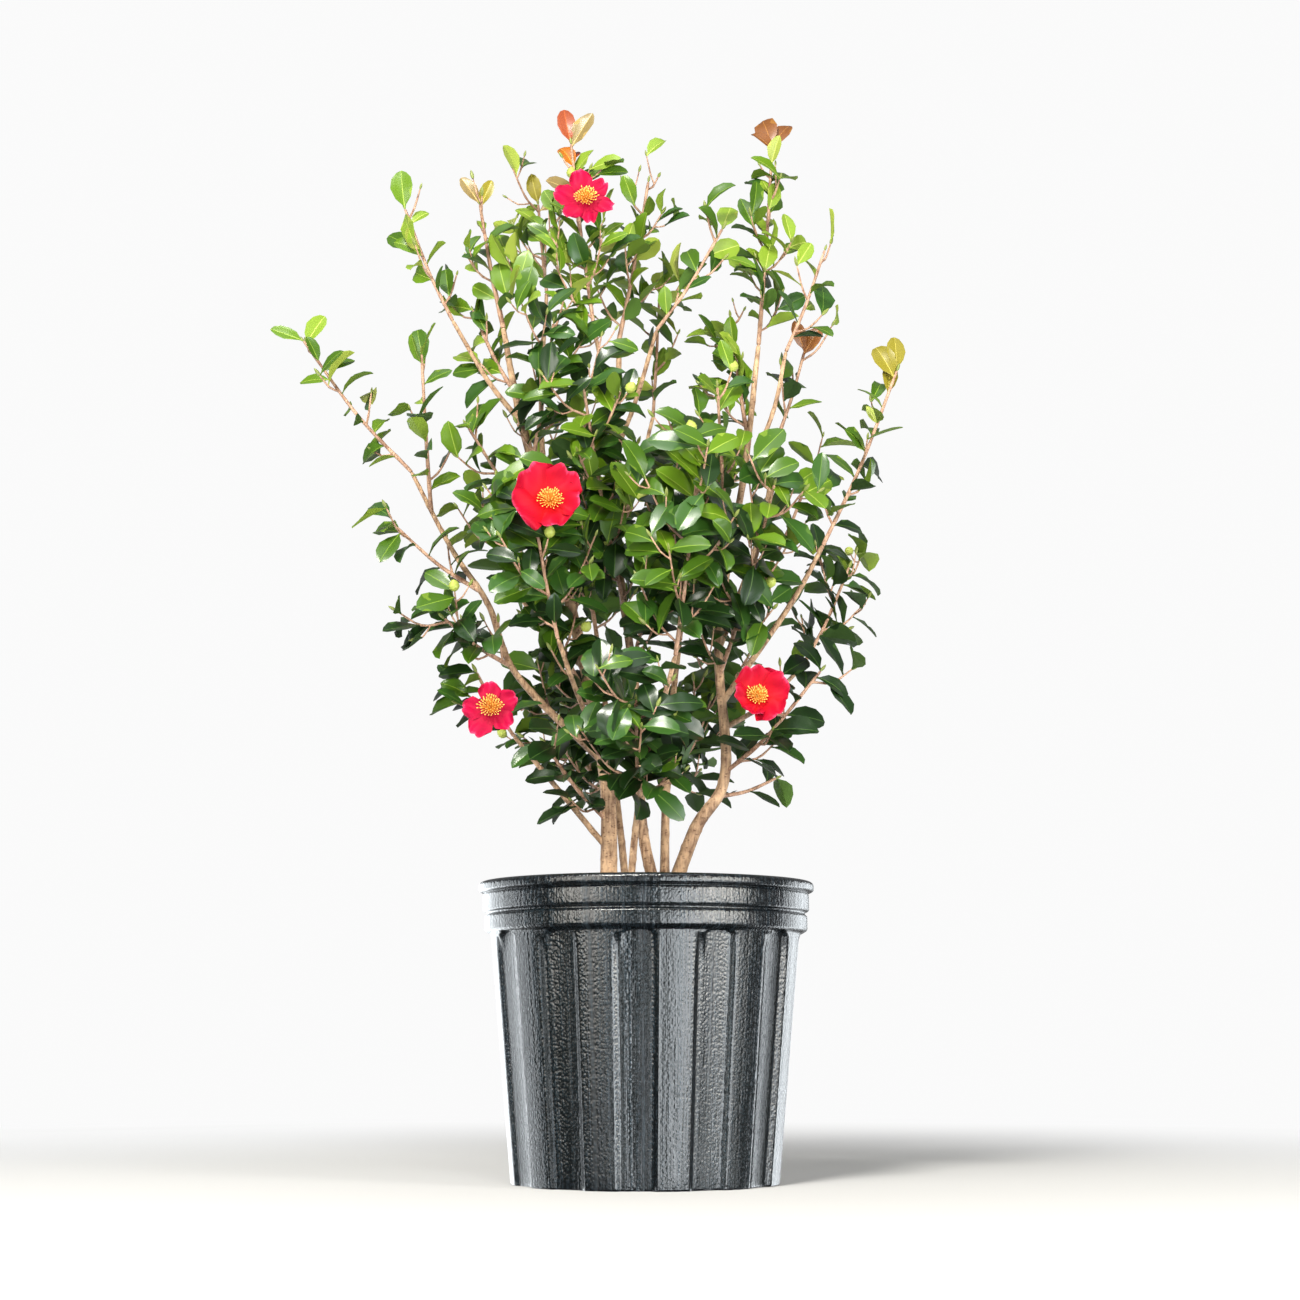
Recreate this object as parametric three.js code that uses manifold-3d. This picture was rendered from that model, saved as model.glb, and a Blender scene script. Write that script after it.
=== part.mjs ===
// Camellia shrub in a fluted nursery pot.
// Millimetres, +Z up. The origin is the middle of the pot's flat underside, and -Y is the front.

import * as THREE from "three";
import { mergeVertices } from "three/addons/utils/BufferGeometryUtils.js";
import Module from "manifold-3d";

const wasm = await Module();
wasm.setup();

// Clearance between neighbouring solids, and the shortest edge that a solid keeps
const CLEARANCE = 0.3;
const SHORTEST_EDGE = 0.02;

// Pot: a blow-moulded tub with twelve raised and twelve sunk panels, two bands and a rolled lip
const POT_HEIGHT = 246;
const LIP_RADIUS = 140;
const LIP_DEPTH = 8.5;
const UPPER_BAND = { radius: 136, bottom: 221, top: 236 };
const LOWER_BAND = { radius: 134.5, bottom: 206, top: 218 };
const BAND_GROOVE = 2.5;
const SHOULDER = { radius: 129, height: 203 };
const FOOT_RADIUS = 111;
const PANEL_PAIRS = 12;
const PANEL_DEPTH = 3.6;
const PANEL_TOP = 197;
const PANEL_SLOPE = THREE.MathUtils.degToRad(2.6);
const PANEL_TURN = THREE.MathUtils.degToRad(5);
const WALL = 2.2;
const BASE_THICKNESS = 3;
const DRAIN_HOLES = 6;
const DRAIN_RADIUS = 7;
const DRAIN_CIRCLE = 88;

// Potting mix: its flat top lies below the rim
const SOIL_LEVEL = 221;
const FOOT_CUT = SOIL_LEVEL + CLEARANCE;

// Limbs: a stem starts below the soil, where it is cut flat, and swells there by a share of its
// girth that it loses over a height. A limb or mass stem with no points in between bows down by a
// share of its length.
const FOOT_DEPTH = 8;
const FLARE = 0.6;
const FLARE_HEIGHT = 13;
const BOUGH_BOW = 0.06;
const MASS_BOW = 0.05;
const SPINE_PIECES = 24;
const HEIGHT_STEPS = 400;

// Twigs and leaves, larger than life because there are half as many as on the real plant
const SEED = 10;
const GOLDEN_ANGLE = THREE.MathUtils.degToRad(137.5);
const TWIG_PITCH = 33;
const TWIG_ANGLE = THREE.MathUtils.degToRad(52);
const TWIG_RISE = 0.3;
const TWIG_RADIUS = { root: 1.3, tip: 1.1 };
const TWIG_PARTS = [1, 0.75, 0.5];
const SHORTEST_TWIG = 20;
const MASS_RADIUS = { side: 2, tip: 1.6 };
const BARE_STEM = 0.12;
const BARE_TWIG = 0.3;
const LEAF_PITCH = 20;
const LEAF_ANGLE = THREE.MathUtils.degToRad(56);
const LEAF_LENGTH = 47;
const LEAF_WIDTH = 26;
const LEAF_THICKNESS = 1.3;
const LEAF_WIDEST = 0.52;
const LEAF_ARCH = 2.5;
const LEAF_SINK = 1.3;
const LEAF_ROOM = 0.32;
const LEAF_TRIES = 4;
const LIGHT_RISE = 0.75;
const LIGHT_SPREAD = 0.5;
const LIGHT_TURN = 0.6;
const SPACE_MARGIN = 1.6;
const LIMB_MARGIN = 1.4;
const BLOOM_RADIUS = 26;
const BLOOM_DEPTH = 8;
const BLOOM_FACING = new THREE.Vector3(0, -1, 0.25).normalize();
const PETALS = 6;
const PETAL_NOTCH = 0.8;
const CROWN_AXIS = [-10, 10];

const COLOURS = {
  plastic: 0x2e3335,
  soil: 0x2f1d18,
  bark: 0xa98c70,
  leaf: 0x2f6a2e,
};

// Limbs in the order of growth. A stem has a foot on the potting mix. A bough leaves the limb that
// it is on at a height above the pot's underside. Each passes by the points in between to its tip,
// and its girth is its radius at both ends.
const LIMBS = [
  {
    name: "stem_left", foot: [-31, -5], by: [[-34, -8, 336], [-61, -14, 467], [-106, -20, 636]],
    tip: [-123, -22, 721], girth: [7.2, 2.3],
  },
  {
    name: "stem_centre", foot: [15, -14], by: [[-3, -8, 291], [-8, 0, 400], [-24, 8, 537]],
    tip: [-24, 20, 722], girth: [5.4, 2.1],
  },
  {
    name: "stem_right", foot: [12, 8], by: [[41, 0, 290], [67, 0, 340], [62, 0, 461], [84, -5, 596]],
    tip: [98, 8, 715], girth: [6.4, 2],
  },
  {
    name: "stem_front", foot: [-15, -21], by: [[-5, -42, 313]],
    tip: [24, -88, 425], girth: [3.3, 2],
  },
  {
    name: "stem_back", foot: [15, 25], by: [[17, 48, 320], [22, 78, 400]],
    tip: [30, 104, 470], girth: [4.2, 2.2],
  },
  {
    name: "stem_back_left", foot: [-14, 14], by: [[-24, 38, 310]],
    tip: [-44, 100, 470], girth: [3.4, 2.1],
  },
  { name: "bough_left_arch", on: "stem_left", height: 636, tip: [-166, -30, 725], girth: [2.4, 1.6] },
  {
    name: "bough_left_inner", on: "stem_left", height: 548, by: [[-92, 26, 655]],
    tip: [-89, 48, 775], girth: [2.6, 1.6],
  },
  {
    name: "bough_left_far", on: "stem_left", height: 345,
    by: [[-108, -25, 418], [-133, -30, 478], [-165, -25, 527]], tip: [-200, -20, 594], girth: [3.4, 1.7],
  },
  {
    name: "bough_left_low", on: "stem_left", height: 272, by: [[-88, -20, 340]],
    tip: [-110, -30, 366], girth: [2.6, 1.7],
  },
  { name: "bough_centre_left", on: "stem_centre", height: 640, tip: [-45, -6, 724], girth: [2.2, 1.7] },
  { name: "bough_centre_right", on: "stem_centre", height: 622, tip: [9, -25, 718], girth: [2.2, 1.6] },
  {
    name: "bough_right_outer", on: "stem_right", height: 584, by: [[108, -19, 645]],
    tip: [120, -25, 699], girth: [2.2, 1.6],
  },
  {
    name: "bough_right_inner", on: "stem_right", height: 442, by: [[97, 26, 545]],
    tip: [118, 35, 645], girth: [2.6, 1.6],
  },
  {
    name: "bough_right_far", on: "stem_right", height: 398, by: [[122, -15, 480]],
    tip: [150, -22, 530], girth: [2.8, 1.8],
  },
  { name: "bough_right_back", on: "stem_right", height: 376, tip: [136, 46, 437], girth: [2.4, 1.7] },
  { name: "bough_front_left", on: "stem_left", height: 362, tip: [-72, -80, 440], girth: [2.6, 1.7] },
  { name: "bough_back_right", on: "stem_right", height: 478, tip: [116, 104, 545], girth: [2.4, 1.7] },
  { name: "bough_back_left", on: "stem_left", height: 425, tip: [-115, 92, 510], girth: [2.6, 1.7] },
  { name: "bough_back_top", on: "stem_centre", height: 545, tip: [6, 84, 670], girth: [2.2, 1.6] },
];

// Masses of leaves. The stem of a mass goes on from the tip of its limb, or leaves the limb's side
// at a height, and ends at its own tip. Its twigs and leaves keep within its spread.
const MASSES = [
  { name: "mass_far_left", on: "bough_left_far", tip: [-296, -15, 712], spread: 48 },
  { name: "mass_left_sprig", on: "bough_left_far", height: 560, tip: [-190, -52, 690], spread: 46 },
  { name: "mass_left_shoot", on: "bough_left_arch", tip: [-210, -18, 830], spread: 48 },
  { name: "mass_left_tall", on: "stem_left", tip: [-144, -30, 830], spread: 50 },
  { name: "mass_left_upper", on: "bough_left_inner", tip: [-97, 42, 856], spread: 56 },
  {
    name: "mass_top", on: "bough_centre_left", tip: [-66, -12, 892], spread: 56,
    bloom: [-52, -46, 828],
  },
  { name: "mass_centre_tall", on: "stem_centre", tip: [2, 28, 872], spread: 54 },
  { name: "mass_centre_arch", on: "bough_centre_right", tip: [66, -35, 806], spread: 52 },
  { name: "mass_right_tall", on: "stem_right", tip: [112, 14, 900], spread: 48 },
  { name: "mass_right_pair", on: "bough_right_outer", tip: [154, -32, 788], spread: 48 },
  { name: "mass_right_crown", on: "stem_right", height: 625, tip: [74, 22, 745], spread: 52 },
  { name: "mass_right_upper", on: "bough_right_inner", tip: [141, 50, 722], spread: 54 },
  { name: "mass_far_right", on: "bough_right_far", tip: [214, -35, 680], spread: 50 },
  { name: "mass_right_bulge", on: "bough_right_back", tip: [180, 70, 530], spread: 60 },
  {
    name: "mass_right_low", on: "stem_right", height: 338, by: [[101, -33, 366]],
    tip: [146, -42, 420], spread: 56, bloom: [95, -74, 397],
  },
  { name: "mass_right_foot", on: "stem_right", height: 318, tip: [112, 34, 338], spread: 52 },
  { name: "mass_front_right", on: "stem_right", height: 420, tip: [104, -122, 560], spread: 62 },
  { name: "mass_front", on: "stem_front", tip: [42, -136, 572], spread: 62 },
  { name: "mass_front_low", on: "stem_front", height: 305, tip: [-8, -122, 385], spread: 60 },
  {
    name: "mass_front_left", on: "bough_front_left", tip: [-92, -98, 545], spread: 62,
    bloom: [-81, -128, 553],
  },
  { name: "mass_front_upper", on: "stem_centre", height: 480, tip: [-52, -96, 650], spread: 58 },
  { name: "mass_centre_inner", on: "stem_centre", height: 430, tip: [24, -36, 590], spread: 52 },
  { name: "mass_right_inner", on: "stem_right", height: 520, tip: [60, -55, 660], spread: 50 },
  { name: "mass_left_crown", on: "stem_left", height: 602, tip: [-78, -58, 715], spread: 56 },
  { name: "mass_left_arch", on: "stem_left", height: 662, tip: [-152, 12, 748], spread: 48 },
  { name: "mass_left_inner", on: "stem_left", height: 388, tip: [-100, -38, 512], spread: 52 },
  { name: "mass_left_middle_upper", on: "stem_left", height: 530, tip: [-150, -54, 625], spread: 56 },
  { name: "mass_left_middle", on: "bough_left_far", height: 488, tip: [-212, -30, 545], spread: 56 },
  { name: "mass_left_lower", on: "bough_left_far", height: 425, tip: [-168, -55, 462], spread: 56 },
  {
    name: "mass_left_low", on: "bough_left_low", tip: [-142, -36, 420], spread: 56,
    bloom: [-127, -70, 384],
  },
  { name: "mass_left_foot", on: "stem_left", height: 296, tip: [-84, -46, 358], spread: 52 },
  { name: "mass_back", on: "stem_back", tip: [50, 150, 630], spread: 66 },
  { name: "mass_back_left", on: "stem_back_left", tip: [-66, 148, 635], spread: 64 },
  { name: "mass_back_right", on: "bough_back_right", tip: [150, 134, 630], spread: 64 },
  { name: "mass_back_far_left", on: "bough_back_left", tip: [-152, 114, 600], spread: 62 },
  { name: "mass_back_low", on: "stem_back", height: 330, tip: [64, 148, 440], spread: 60 },
  { name: "mass_back_low_left", on: "stem_back_left", height: 318, tip: [-98, 112, 425], spread: 60 },
  { name: "mass_back_top", on: "bough_back_top", tip: [12, 100, 790], spread: 56 },
];

const UP = new THREE.Vector3(0, 0, 1);

function vector([x, y, z]) {
  return new THREE.Vector3(x, y, z);
}

// The same number between 0 and 1 for the same seed and count, every time
function chance(seed, count) {
  const value = Math.sin(seed * 12.9898 + count * 78.233) * 43758.5453;
  return value - Math.floor(value);
}

function between(low, high, share) {
  return low + (high - low) * share;
}

// A closed geometry as a solid that can be joined and cut
function toSolid(geometry) {
  const bare = geometry.clone();
  bare.deleteAttribute("normal");
  bare.deleteAttribute("uv");
  const welded = mergeVertices(bare, 1e-3);
  const mesh = new wasm.Mesh({
    numProp: 3,
    vertProperties: Float32Array.from(welded.attributes.position.array),
    triVerts: Uint32Array.from(welded.index.array),
  });
  return new wasm.Manifold(mesh);
}

function toGeometry(solid) {
  const { vertProperties, triVerts } = solid.getMesh();
  const geometry = new THREE.BufferGeometry();
  geometry.setAttribute("position", new THREE.BufferAttribute(vertProperties, 3));
  geometry.setIndex(new THREE.BufferAttribute(triVerts, 1));
  geometry.computeVertexNormals();
  return geometry;
}

// The main body of a solid: its shortest edges close up, loose scraps fall away, and a hollow
// sealed by fusing is filled
function mainBody(solid) {
  const bodies = solid.simplify(SHORTEST_EDGE).decompose();
  return bodies.reduce((best, body) => (body.volume() > best.volume() ? body : best));
}

// A profile of [radius, height] turned round the Z axis
function turned(profile, segments) {
  const points = profile.map(([radius, height]) => new THREE.Vector2(radius, height));
  return new THREE.LatheGeometry(points, segments).rotateX(Math.PI / 2);
}

// The inside of the pot, drawn in by a gap, from its floor to a height
function cavityProfile(gap, top) {
  const floorRadius = FOOT_RADIUS - PANEL_DEPTH - WALL - gap;
  const shoulderRadius = SHOULDER.radius - PANEL_DEPTH - WALL - gap;
  const rimRadius = LOWER_BAND.radius - BAND_GROOVE - WALL - gap;
  return [
    [0, BASE_THICKNESS + gap],
    [floorRadius, BASE_THICKNESS + gap],
    [shoulderRadius, SHOULDER.height],
    [rimRadius, LOWER_BAND.bottom + BAND_GROOVE],
    [rimRadius, top],
    [0, top],
  ];
}

// Moves the pot's evenly spaced spokes in fours to the edges of each pair of panels, and sinks the
// second panel of the pair below the panels' rounded tops
function pressPanels(shell) {
  const place = shell.attributes.position;
  const spokes = 4 * PANEL_PAIRS;
  const pair = 2 * Math.PI / PANEL_PAIRS;
  for (let i = 0; i < place.count; i += 1) {
    const [x, y, z] = [place.getX(i), place.getY(i), place.getZ(i)];
    const spoke = (Math.round(Math.atan2(y, x) / (2 * Math.PI) * spokes) + spokes) % spokes;
    const edge = spoke % 4;
    const sunk = edge >= 2 && z <= PANEL_TOP ? PANEL_DEPTH : 0;
    const start = Math.floor(spoke / 4) * pair + PANEL_TURN;
    const turn = start + Math.floor(edge / 2) * pair / 2 + (edge % 2) * (pair / 2 - PANEL_SLOPE);
    const radius = Math.max(0, Math.hypot(x, y) - sunk);
    if (Math.hypot(x, y) > 1) {
      place.setXY(i, radius * Math.cos(turn), radius * Math.sin(turn));
    }
  }
}

function makePot() {
  const grooveRadius = LOWER_BAND.radius - BAND_GROOVE;
  const lipBottom = POT_HEIGHT - LIP_DEPTH;
  const sideRadius = between(FOOT_RADIUS, SHOULDER.radius, PANEL_TOP / SHOULDER.height);
  const outside = [
    [0, 0],
    [FOOT_RADIUS, 0],
    [sideRadius, PANEL_TOP],
    [SHOULDER.radius, SHOULDER.height],
    [LOWER_BAND.radius, LOWER_BAND.bottom],
    [LOWER_BAND.radius, LOWER_BAND.top],
    [grooveRadius, LOWER_BAND.top + BAND_GROOVE / 2],
    [UPPER_BAND.radius, UPPER_BAND.bottom],
    [UPPER_BAND.radius, UPPER_BAND.top],
    [LIP_RADIUS, lipBottom + 1],
    [LIP_RADIUS, POT_HEIGHT - 2],
    [LIP_RADIUS - 2, POT_HEIGHT],
    [0, POT_HEIGHT],
  ];
  const shell = turned(outside, 4 * PANEL_PAIRS);
  pressPanels(shell);
  let pot = toSolid(shell).subtract(toSolid(turned(cavityProfile(0, POT_HEIGHT + 1), 36)));
  for (let i = 0; i < DRAIN_HOLES; i += 1) {
    const angle = (i / DRAIN_HOLES) * 2 * Math.PI;
    const hole = new THREE.CylinderGeometry(DRAIN_RADIUS, DRAIN_RADIUS, 4 * BASE_THICKNESS, 10);
    hole.rotateX(Math.PI / 2);
    hole.translate(DRAIN_CIRCLE * Math.cos(angle), DRAIN_CIRCLE * Math.sin(angle), 0);
    pot = pot.subtract(toSolid(hole));
  }
  return pot;
}

function makePottingMix() {
  return toSolid(turned(cavityProfile(CLEARANCE, SOIL_LEVEL), 36));
}

// The world axis that lies most nearly square to a curve, which keeps its rings from twisting
function squareAxis(curve) {
  const chord = curve.getPoint(1).sub(curve.getPoint(0));
  const sizes = chord.toArray().map(Math.abs);
  const axis = new THREE.Vector3();
  axis.setComponent(sizes.indexOf(Math.min(...sizes)), 1);
  return axis;
}

// The curve's heading at a share of its length and two directions square to it
function frameAt(curve, axis, share) {
  const along = curve.getTangent(share);
  const side = axis.clone().cross(along).normalize();
  return { along, side, across: side.clone().cross(along) };
}

// The direction that leaves a curve at an angle to its heading, on a bearing round it
function leaving(curve, axis, share, angle, bearing) {
  const { along, side, across } = frameAt(curve, axis, share);
  const out = side.multiplyScalar(Math.cos(bearing)).addScaledVector(across, Math.sin(bearing));
  return along.multiplyScalar(Math.cos(angle)).addScaledVector(out, Math.sin(angle)).normalize();
}

// A tapering limb: a cylinder whose rings are laid square to a curve
function tube(curve, radiusAt, sides, steps, crowding = 1) {
  const geometry = new THREE.CylinderGeometry(1, 1, 1, sides, steps);
  const axis = squareAxis(curve);
  const place = geometry.attributes.position;
  for (let i = 0; i < place.count; i += 1) {
    const share = Math.max(0, place.getY(i) + 0.5) ** crowding;
    const { side, across } = frameAt(curve, axis, share);
    const radius = radiusAt(share);
    const point = curve.getPoint(share);
    point.addScaledVector(side, place.getX(i) * radius);
    point.addScaledVector(across, place.getZ(i) * radius);
    place.setXYZ(i, point.x, point.y, point.z);
  }
  return toSolid(geometry);
}

// A curve from a start past the points in between to a tip. With none given it bows down by a
// share of its length, as a branch does that leaves sideways and turns up to the light.
function growthCurve(start, by, tip, bow) {
  const end = vector(tip);
  const middle = start.clone().lerp(end, 0.5).addScaledVector(UP, -bow * start.distanceTo(end));
  const points = [start, ...(by ? by.map(vector) : [middle]), end];
  return new THREE.CatmullRomCurve3(points, false, "catmullrom", 0.5);
}

// The share of a limb's curve that lies at a height
function shareAtHeight(curve, height) {
  let share = 0;
  while (share < 1 && curve.getPoint(share).z < height) {
    share += 1 / HEIGHT_STEPS;
  }
  return Math.min(share, 1);
}

// The curve and girth of a limb
function limbShape(row, grown) {
  const parent = grown.get(row.on);
  const start = row.foot
    ? new THREE.Vector3(row.foot[0], row.foot[1], SOIL_LEVEL - FOOT_DEPTH)
    : parent.curve.getPoint(shareAtHeight(parent.curve, row.height));
  const curve = growthCurve(start, row.by, row.tip, BOUGH_BOW);
  const length = curve.getLength();
  const [root, end] = row.girth;
  const flare = row.foot ? FLARE : 0;
  const radiusAt = (share) => {
    const rise = Math.max(0, share * length - FOOT_DEPTH);
    return between(root, end, share) * (1 + flare * Math.exp(-rise / FLARE_HEIGHT));
  };
  return { ...row, curve, radiusAt, spine: spineOf(curve, radiusAt) };
}

// Points along a curve with the radius at each, to measure distances from
function spineOf(curve, radiusAt) {
  return Array.from({ length: SPINE_PIECES + 1 }, (_, i) => {
    const share = i / SPINE_PIECES;
    return { point: curve.getPoint(share), radius: radiusAt(share) };
  });
}

// The smallest distance from a point to a spine, less the spine's radius there if asked
function distanceTo(spine, point, fromSurface) {
  const segment = new THREE.Line3();
  const nearest = new THREE.Vector3();
  let smallest = Infinity;
  for (let i = 0; i + 1 < spine.length; i += 1) {
    segment.set(spine[i].point, spine[i + 1].point);
    segment.closestPointToPoint(point, true, nearest);
    const gap = nearest.distanceTo(point) - (fromSurface ? spine[i].radius : 0);
    smallest = Math.min(smallest, gap);
  }
  return smallest;
}

// A limb and the clear space round it that later solids are cut by
function limbSolid(limb, gap) {
  const stem = Boolean(limb.foot);
  const [sides, steps] = stem ? [7, 7] : [5, 4];
  const solid = tube(limb.curve, (share) => limb.radiusAt(share) + gap, sides, steps, stem ? 1.5 : 1);
  if (gap === 0) {
    return solid;
  }
  const end = new THREE.CylinderGeometry(1, 1, 2 * gap, sides);
  const radius = limb.radiusAt(1) + gap;
  end.scale(radius, 1, radius);
  end.applyQuaternion(new THREE.Quaternion().setFromUnitVectors(new THREE.Vector3(0, 1, 0),
    limb.curve.getTangent(1)));
  end.translate(...limb.curve.getPoint(1).toArray());
  return solid.add(toSolid(end));
}

// The stem of a mass, with the spine that its space is measured from
function massShape(row, limbs) {
  const limb = limbs.get(row.on);
  const fromTip = row.height === undefined;
  const share = fromTip ? 1 : shareAtHeight(limb.curve, row.height);
  const start = limb.curve.getPoint(share);
  if (fromTip) {
    start.addScaledVector(limb.curve.getTangent(1), CLEARANCE);
  }
  const curve = growthCurve(start, row.by, row.tip, MASS_BOW);
  const root = fromTip ? limb.radiusAt(1) : MASS_RADIUS.side;
  const radiusAt = (part) => between(root, MASS_RADIUS.tip, part);
  return { ...row, curve, radiusAt, spine: spineOf(curve, radiusAt) };
}

// Whether points lie in a mass's own space: within its spread, nearer to its stem than to any
// other as shares of their spreads, and clear of every limb
function hasRoom(points, mass, masses, limbs) {
  return points.every((point) => {
    const own = distanceTo(mass.spine, point, false) / mass.spread;
    if (own > 1 || point.z < SOIL_LEVEL + 2 * LEAF_THICKNESS) {
      return false;
    }
    const nearLimb = limbs.some((limb) => distanceTo(limb.spine, point, true) < LIMB_MARGIN);
    return !nearLimb && masses.every((other) => {
      const gap = other === mass ? Infinity : distanceTo(other.spine, point, false);
      return own < (gap - SPACE_MARGIN) / other.spread;
    });
  });
}

// A leaf's place: it leaves its twig at an angle, and its face turns to the light
function leafPlace(curve, share, bearing, size, seed, count) {
  const angle = LEAF_ANGLE * between(0.75, 1.2, chance(seed, count));
  const along = leaving(curve, squareAxis(curve), share, angle, bearing);
  const root = curve.getPoint(share);
  const light = new THREE.Vector3(root.x - CROWN_AXIS[0], root.y - CROWN_AXIS[1], 0).normalize();
  light.addScaledVector(UP, LIGHT_RISE);
  light.x += between(-LIGHT_SPREAD, LIGHT_SPREAD, chance(seed, count + 1));
  light.y += between(-LIGHT_SPREAD, LIGHT_SPREAD, chance(seed, count + 2));
  light.normalize();
  along.addScaledVector(light, -LIGHT_TURN * along.dot(light)).normalize();
  const face = light.addScaledVector(along, -light.dot(along)).normalize();
  return { root, along, face, across: face.clone().cross(along), size };
}

// The point of a leaf at a share of its length, width and height
function leafPoint({ root, along, across, face, size }, length, width, height) {
  const point = root.clone().addScaledVector(along, length * LEAF_LENGTH * size);
  point.addScaledVector(across, width * LEAF_WIDTH * size / 2);
  return point.addScaledVector(face, height);
}

// A blade of six faces: a three-sided spindle from root to tip, whose middle is drawn out to the
// leaf's two edges and its raised midrib
function leafSolid(leaf) {
  const geometry = new THREE.SphereGeometry(1, 3, 2);
  const place = geometry.attributes.position;
  const edge = Math.sin(Math.PI / 3);
  for (let i = 0; i < place.count; i += 1) {
    const end = Math.round(place.getY(i));
    const length = end === 0 ? LEAF_WIDEST : (end + 1) / 2;
    const crown = place.getX(i) < -0.5 ? LEAF_THICKNESS : 0;
    const height = end === 0 ? LEAF_ARCH + crown : 0;
    const point = leafPoint(leaf, length, -place.getZ(i) / edge, height);
    place.setXYZ(i, point.x, point.y, point.z);
  }
  return toSolid(geometry);
}

function leafSamples(leaf) {
  const spots = [[0.5, 0], [0.5, -1], [0.5, 1], [0.75, -0.5], [0.75, 0.5], [1, 0]];
  return spots.map(([length, width]) => leafPoint(leaf, length, width, LEAF_ARCH * (1 - length)));
}

// The twigs of a mass: they leave its stem a golden angle apart and turn up, shortened until they
// have room
function growTwigs(mass, seed, masses, limbs) {
  const axis = squareAxis(mass.curve);
  const length = mass.curve.getLength();
  const count = Math.floor(length / TWIG_PITCH);
  const reach = (mass.spread - LEAF_LENGTH * Math.sin(LEAF_ANGLE) * 0.75) / Math.sin(TWIG_ANGLE);
  const twigs = [];
  for (let i = 0; i < count; i += 1) {
    const share = (i + 0.65) / count;
    const bearing = seed + i * GOLDEN_ANGLE;
    const heading = leaving(mass.curve, axis, share, TWIG_ANGLE, bearing);
    const start = mass.curve.getPoint(share);
    const full = reach * between(0.8, 1.1, chance(seed, 10 + i));
    for (const part of TWIG_PARTS) {
      const end = start.clone().addScaledVector(heading, full * part);
      end.addScaledVector(UP, full * part * TWIG_RISE);
      const curve = new THREE.LineCurve3(start, end);
      const samples = [0.35, 0.6, 0.8, 1].map((spot) => curve.getPoint(spot));
      if (full * part >= SHORTEST_TWIG && hasRoom(samples, mass, masses, limbs)) {
        twigs.push(curve);
        break;
      }
    }
  }
  return twigs;
}

// Leaves along a shoot, a golden angle apart, and one that goes on from its tip. A leaf that
// would leave the mass's space, touch a limb or crowd another leaf is turned a quarter round the
// shoot and tried again, and at last skipped.
function growLeaves(shoot, seed, bare, fits, leaves) {
  const length = shoot.getLength();
  const count = Math.max(1, Math.floor(length * (1 - bare) / LEAF_PITCH));
  for (let i = 0; i <= count; i += 1) {
    const share = i === count ? 1 - LEAF_SINK / length : between(bare, 1, (i + 0.4) / count);
    const size = between(0.86, 1.12, chance(seed, 20 + i));
    for (let attempt = 0; attempt < LEAF_TRIES; attempt += 1) {
      const bearing = seed * 2 + i * GOLDEN_ANGLE + attempt * Math.PI / 2;
      const leaf = leafPlace(shoot, share, bearing, size, seed, 30 + 3 * i);
      if (fits(leaf, leaves)) {
        leaves.push(leaf);
        break;
      }
    }
  }
}

// An open bloom on a stalk from the mass's stem: one turned dish with a notched edge for its
// petals, and a boss of stamens in the middle
function bloomSolids(mass) {
  const centre = vector(mass.bloom);
  const spots = mass.spine.map(({ point }) => point);
  const root = spots.reduce((best, spot) => {
    return spot.distanceTo(centre) < best.distanceTo(centre) ? spot : best;
  });
  const dish = turned([
    [0, -2],
    [BLOOM_RADIUS * 0.55, 0],
    [BLOOM_RADIUS, BLOOM_DEPTH],
    [BLOOM_RADIUS * 0.55, 1.6],
    [BLOOM_RADIUS * 0.3, 1.6],
    [BLOOM_RADIUS * 0.22, BLOOM_DEPTH],
    [0, BLOOM_DEPTH],
  ], 2 * PETALS);
  const place = dish.attributes.position;
  for (let i = 0; i < place.count; i += 1) {
    const [x, y] = [place.getX(i), place.getY(i)];
    const spoke = Math.round(Math.atan2(y, x) / Math.PI * PETALS + 2 * PETALS);
    const edge = Math.hypot(x, y) > BLOOM_RADIUS * 0.9;
    const notch = edge && spoke % 2 === 1 ? PETAL_NOTCH : 1;
    place.setXY(i, x * notch, y * notch);
  }
  dish.applyQuaternion(new THREE.Quaternion().setFromUnitVectors(UP, BLOOM_FACING));
  dish.translate(...mass.bloom);
  const stalk = new THREE.LineCurve3(root, centre);
  return [tube(stalk, () => TWIG_RADIUS.root, 3, 1), toSolid(dish)];
}

// A mass in one solid: its stem, twigs, leaves and bloom. Leaves keep out of the ball of space
// round the middle of every bloom.
function massSolid(mass, seed, masses, limbs, blooms) {
  const fits = (leaf, leaves) => {
    const middle = leafPoint(leaf, 0.5, 0, 0);
    const spots = leafSamples(leaf);
    const crowded = leaves.some((other) => {
      return leafPoint(other, 0.5, 0, 0).distanceTo(middle) < LEAF_ROOM * LEAF_LENGTH;
    });
    const inBloom = blooms.some((bloom) => {
      return spots.some((spot) => spot.distanceTo(bloom) < BLOOM_RADIUS);
    });
    return !crowded && !inBloom && hasRoom(spots, mass, masses, limbs);
  };
  const twigs = growTwigs(mass, seed, masses, limbs);
  const leaves = [];
  growLeaves(mass.curve, seed, BARE_STEM, fits, leaves);
  twigs.forEach((twig, i) => growLeaves(twig, seed + 0.37 * (i + 1), BARE_TWIG, fits, leaves));
  const twigRadius = (share) => between(TWIG_RADIUS.root, TWIG_RADIUS.tip, share);
  const solids = [
    tube(mass.curve, mass.radiusAt, 3, 3),
    ...twigs.map((twig) => tube(twig, twigRadius, 3, 1)),
    ...leaves.map(leafSolid),
    ...(mass.bloom ? bloomSolids(mass) : []),
  ];
  return wasm.Manifold.union(solids);
}

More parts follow.
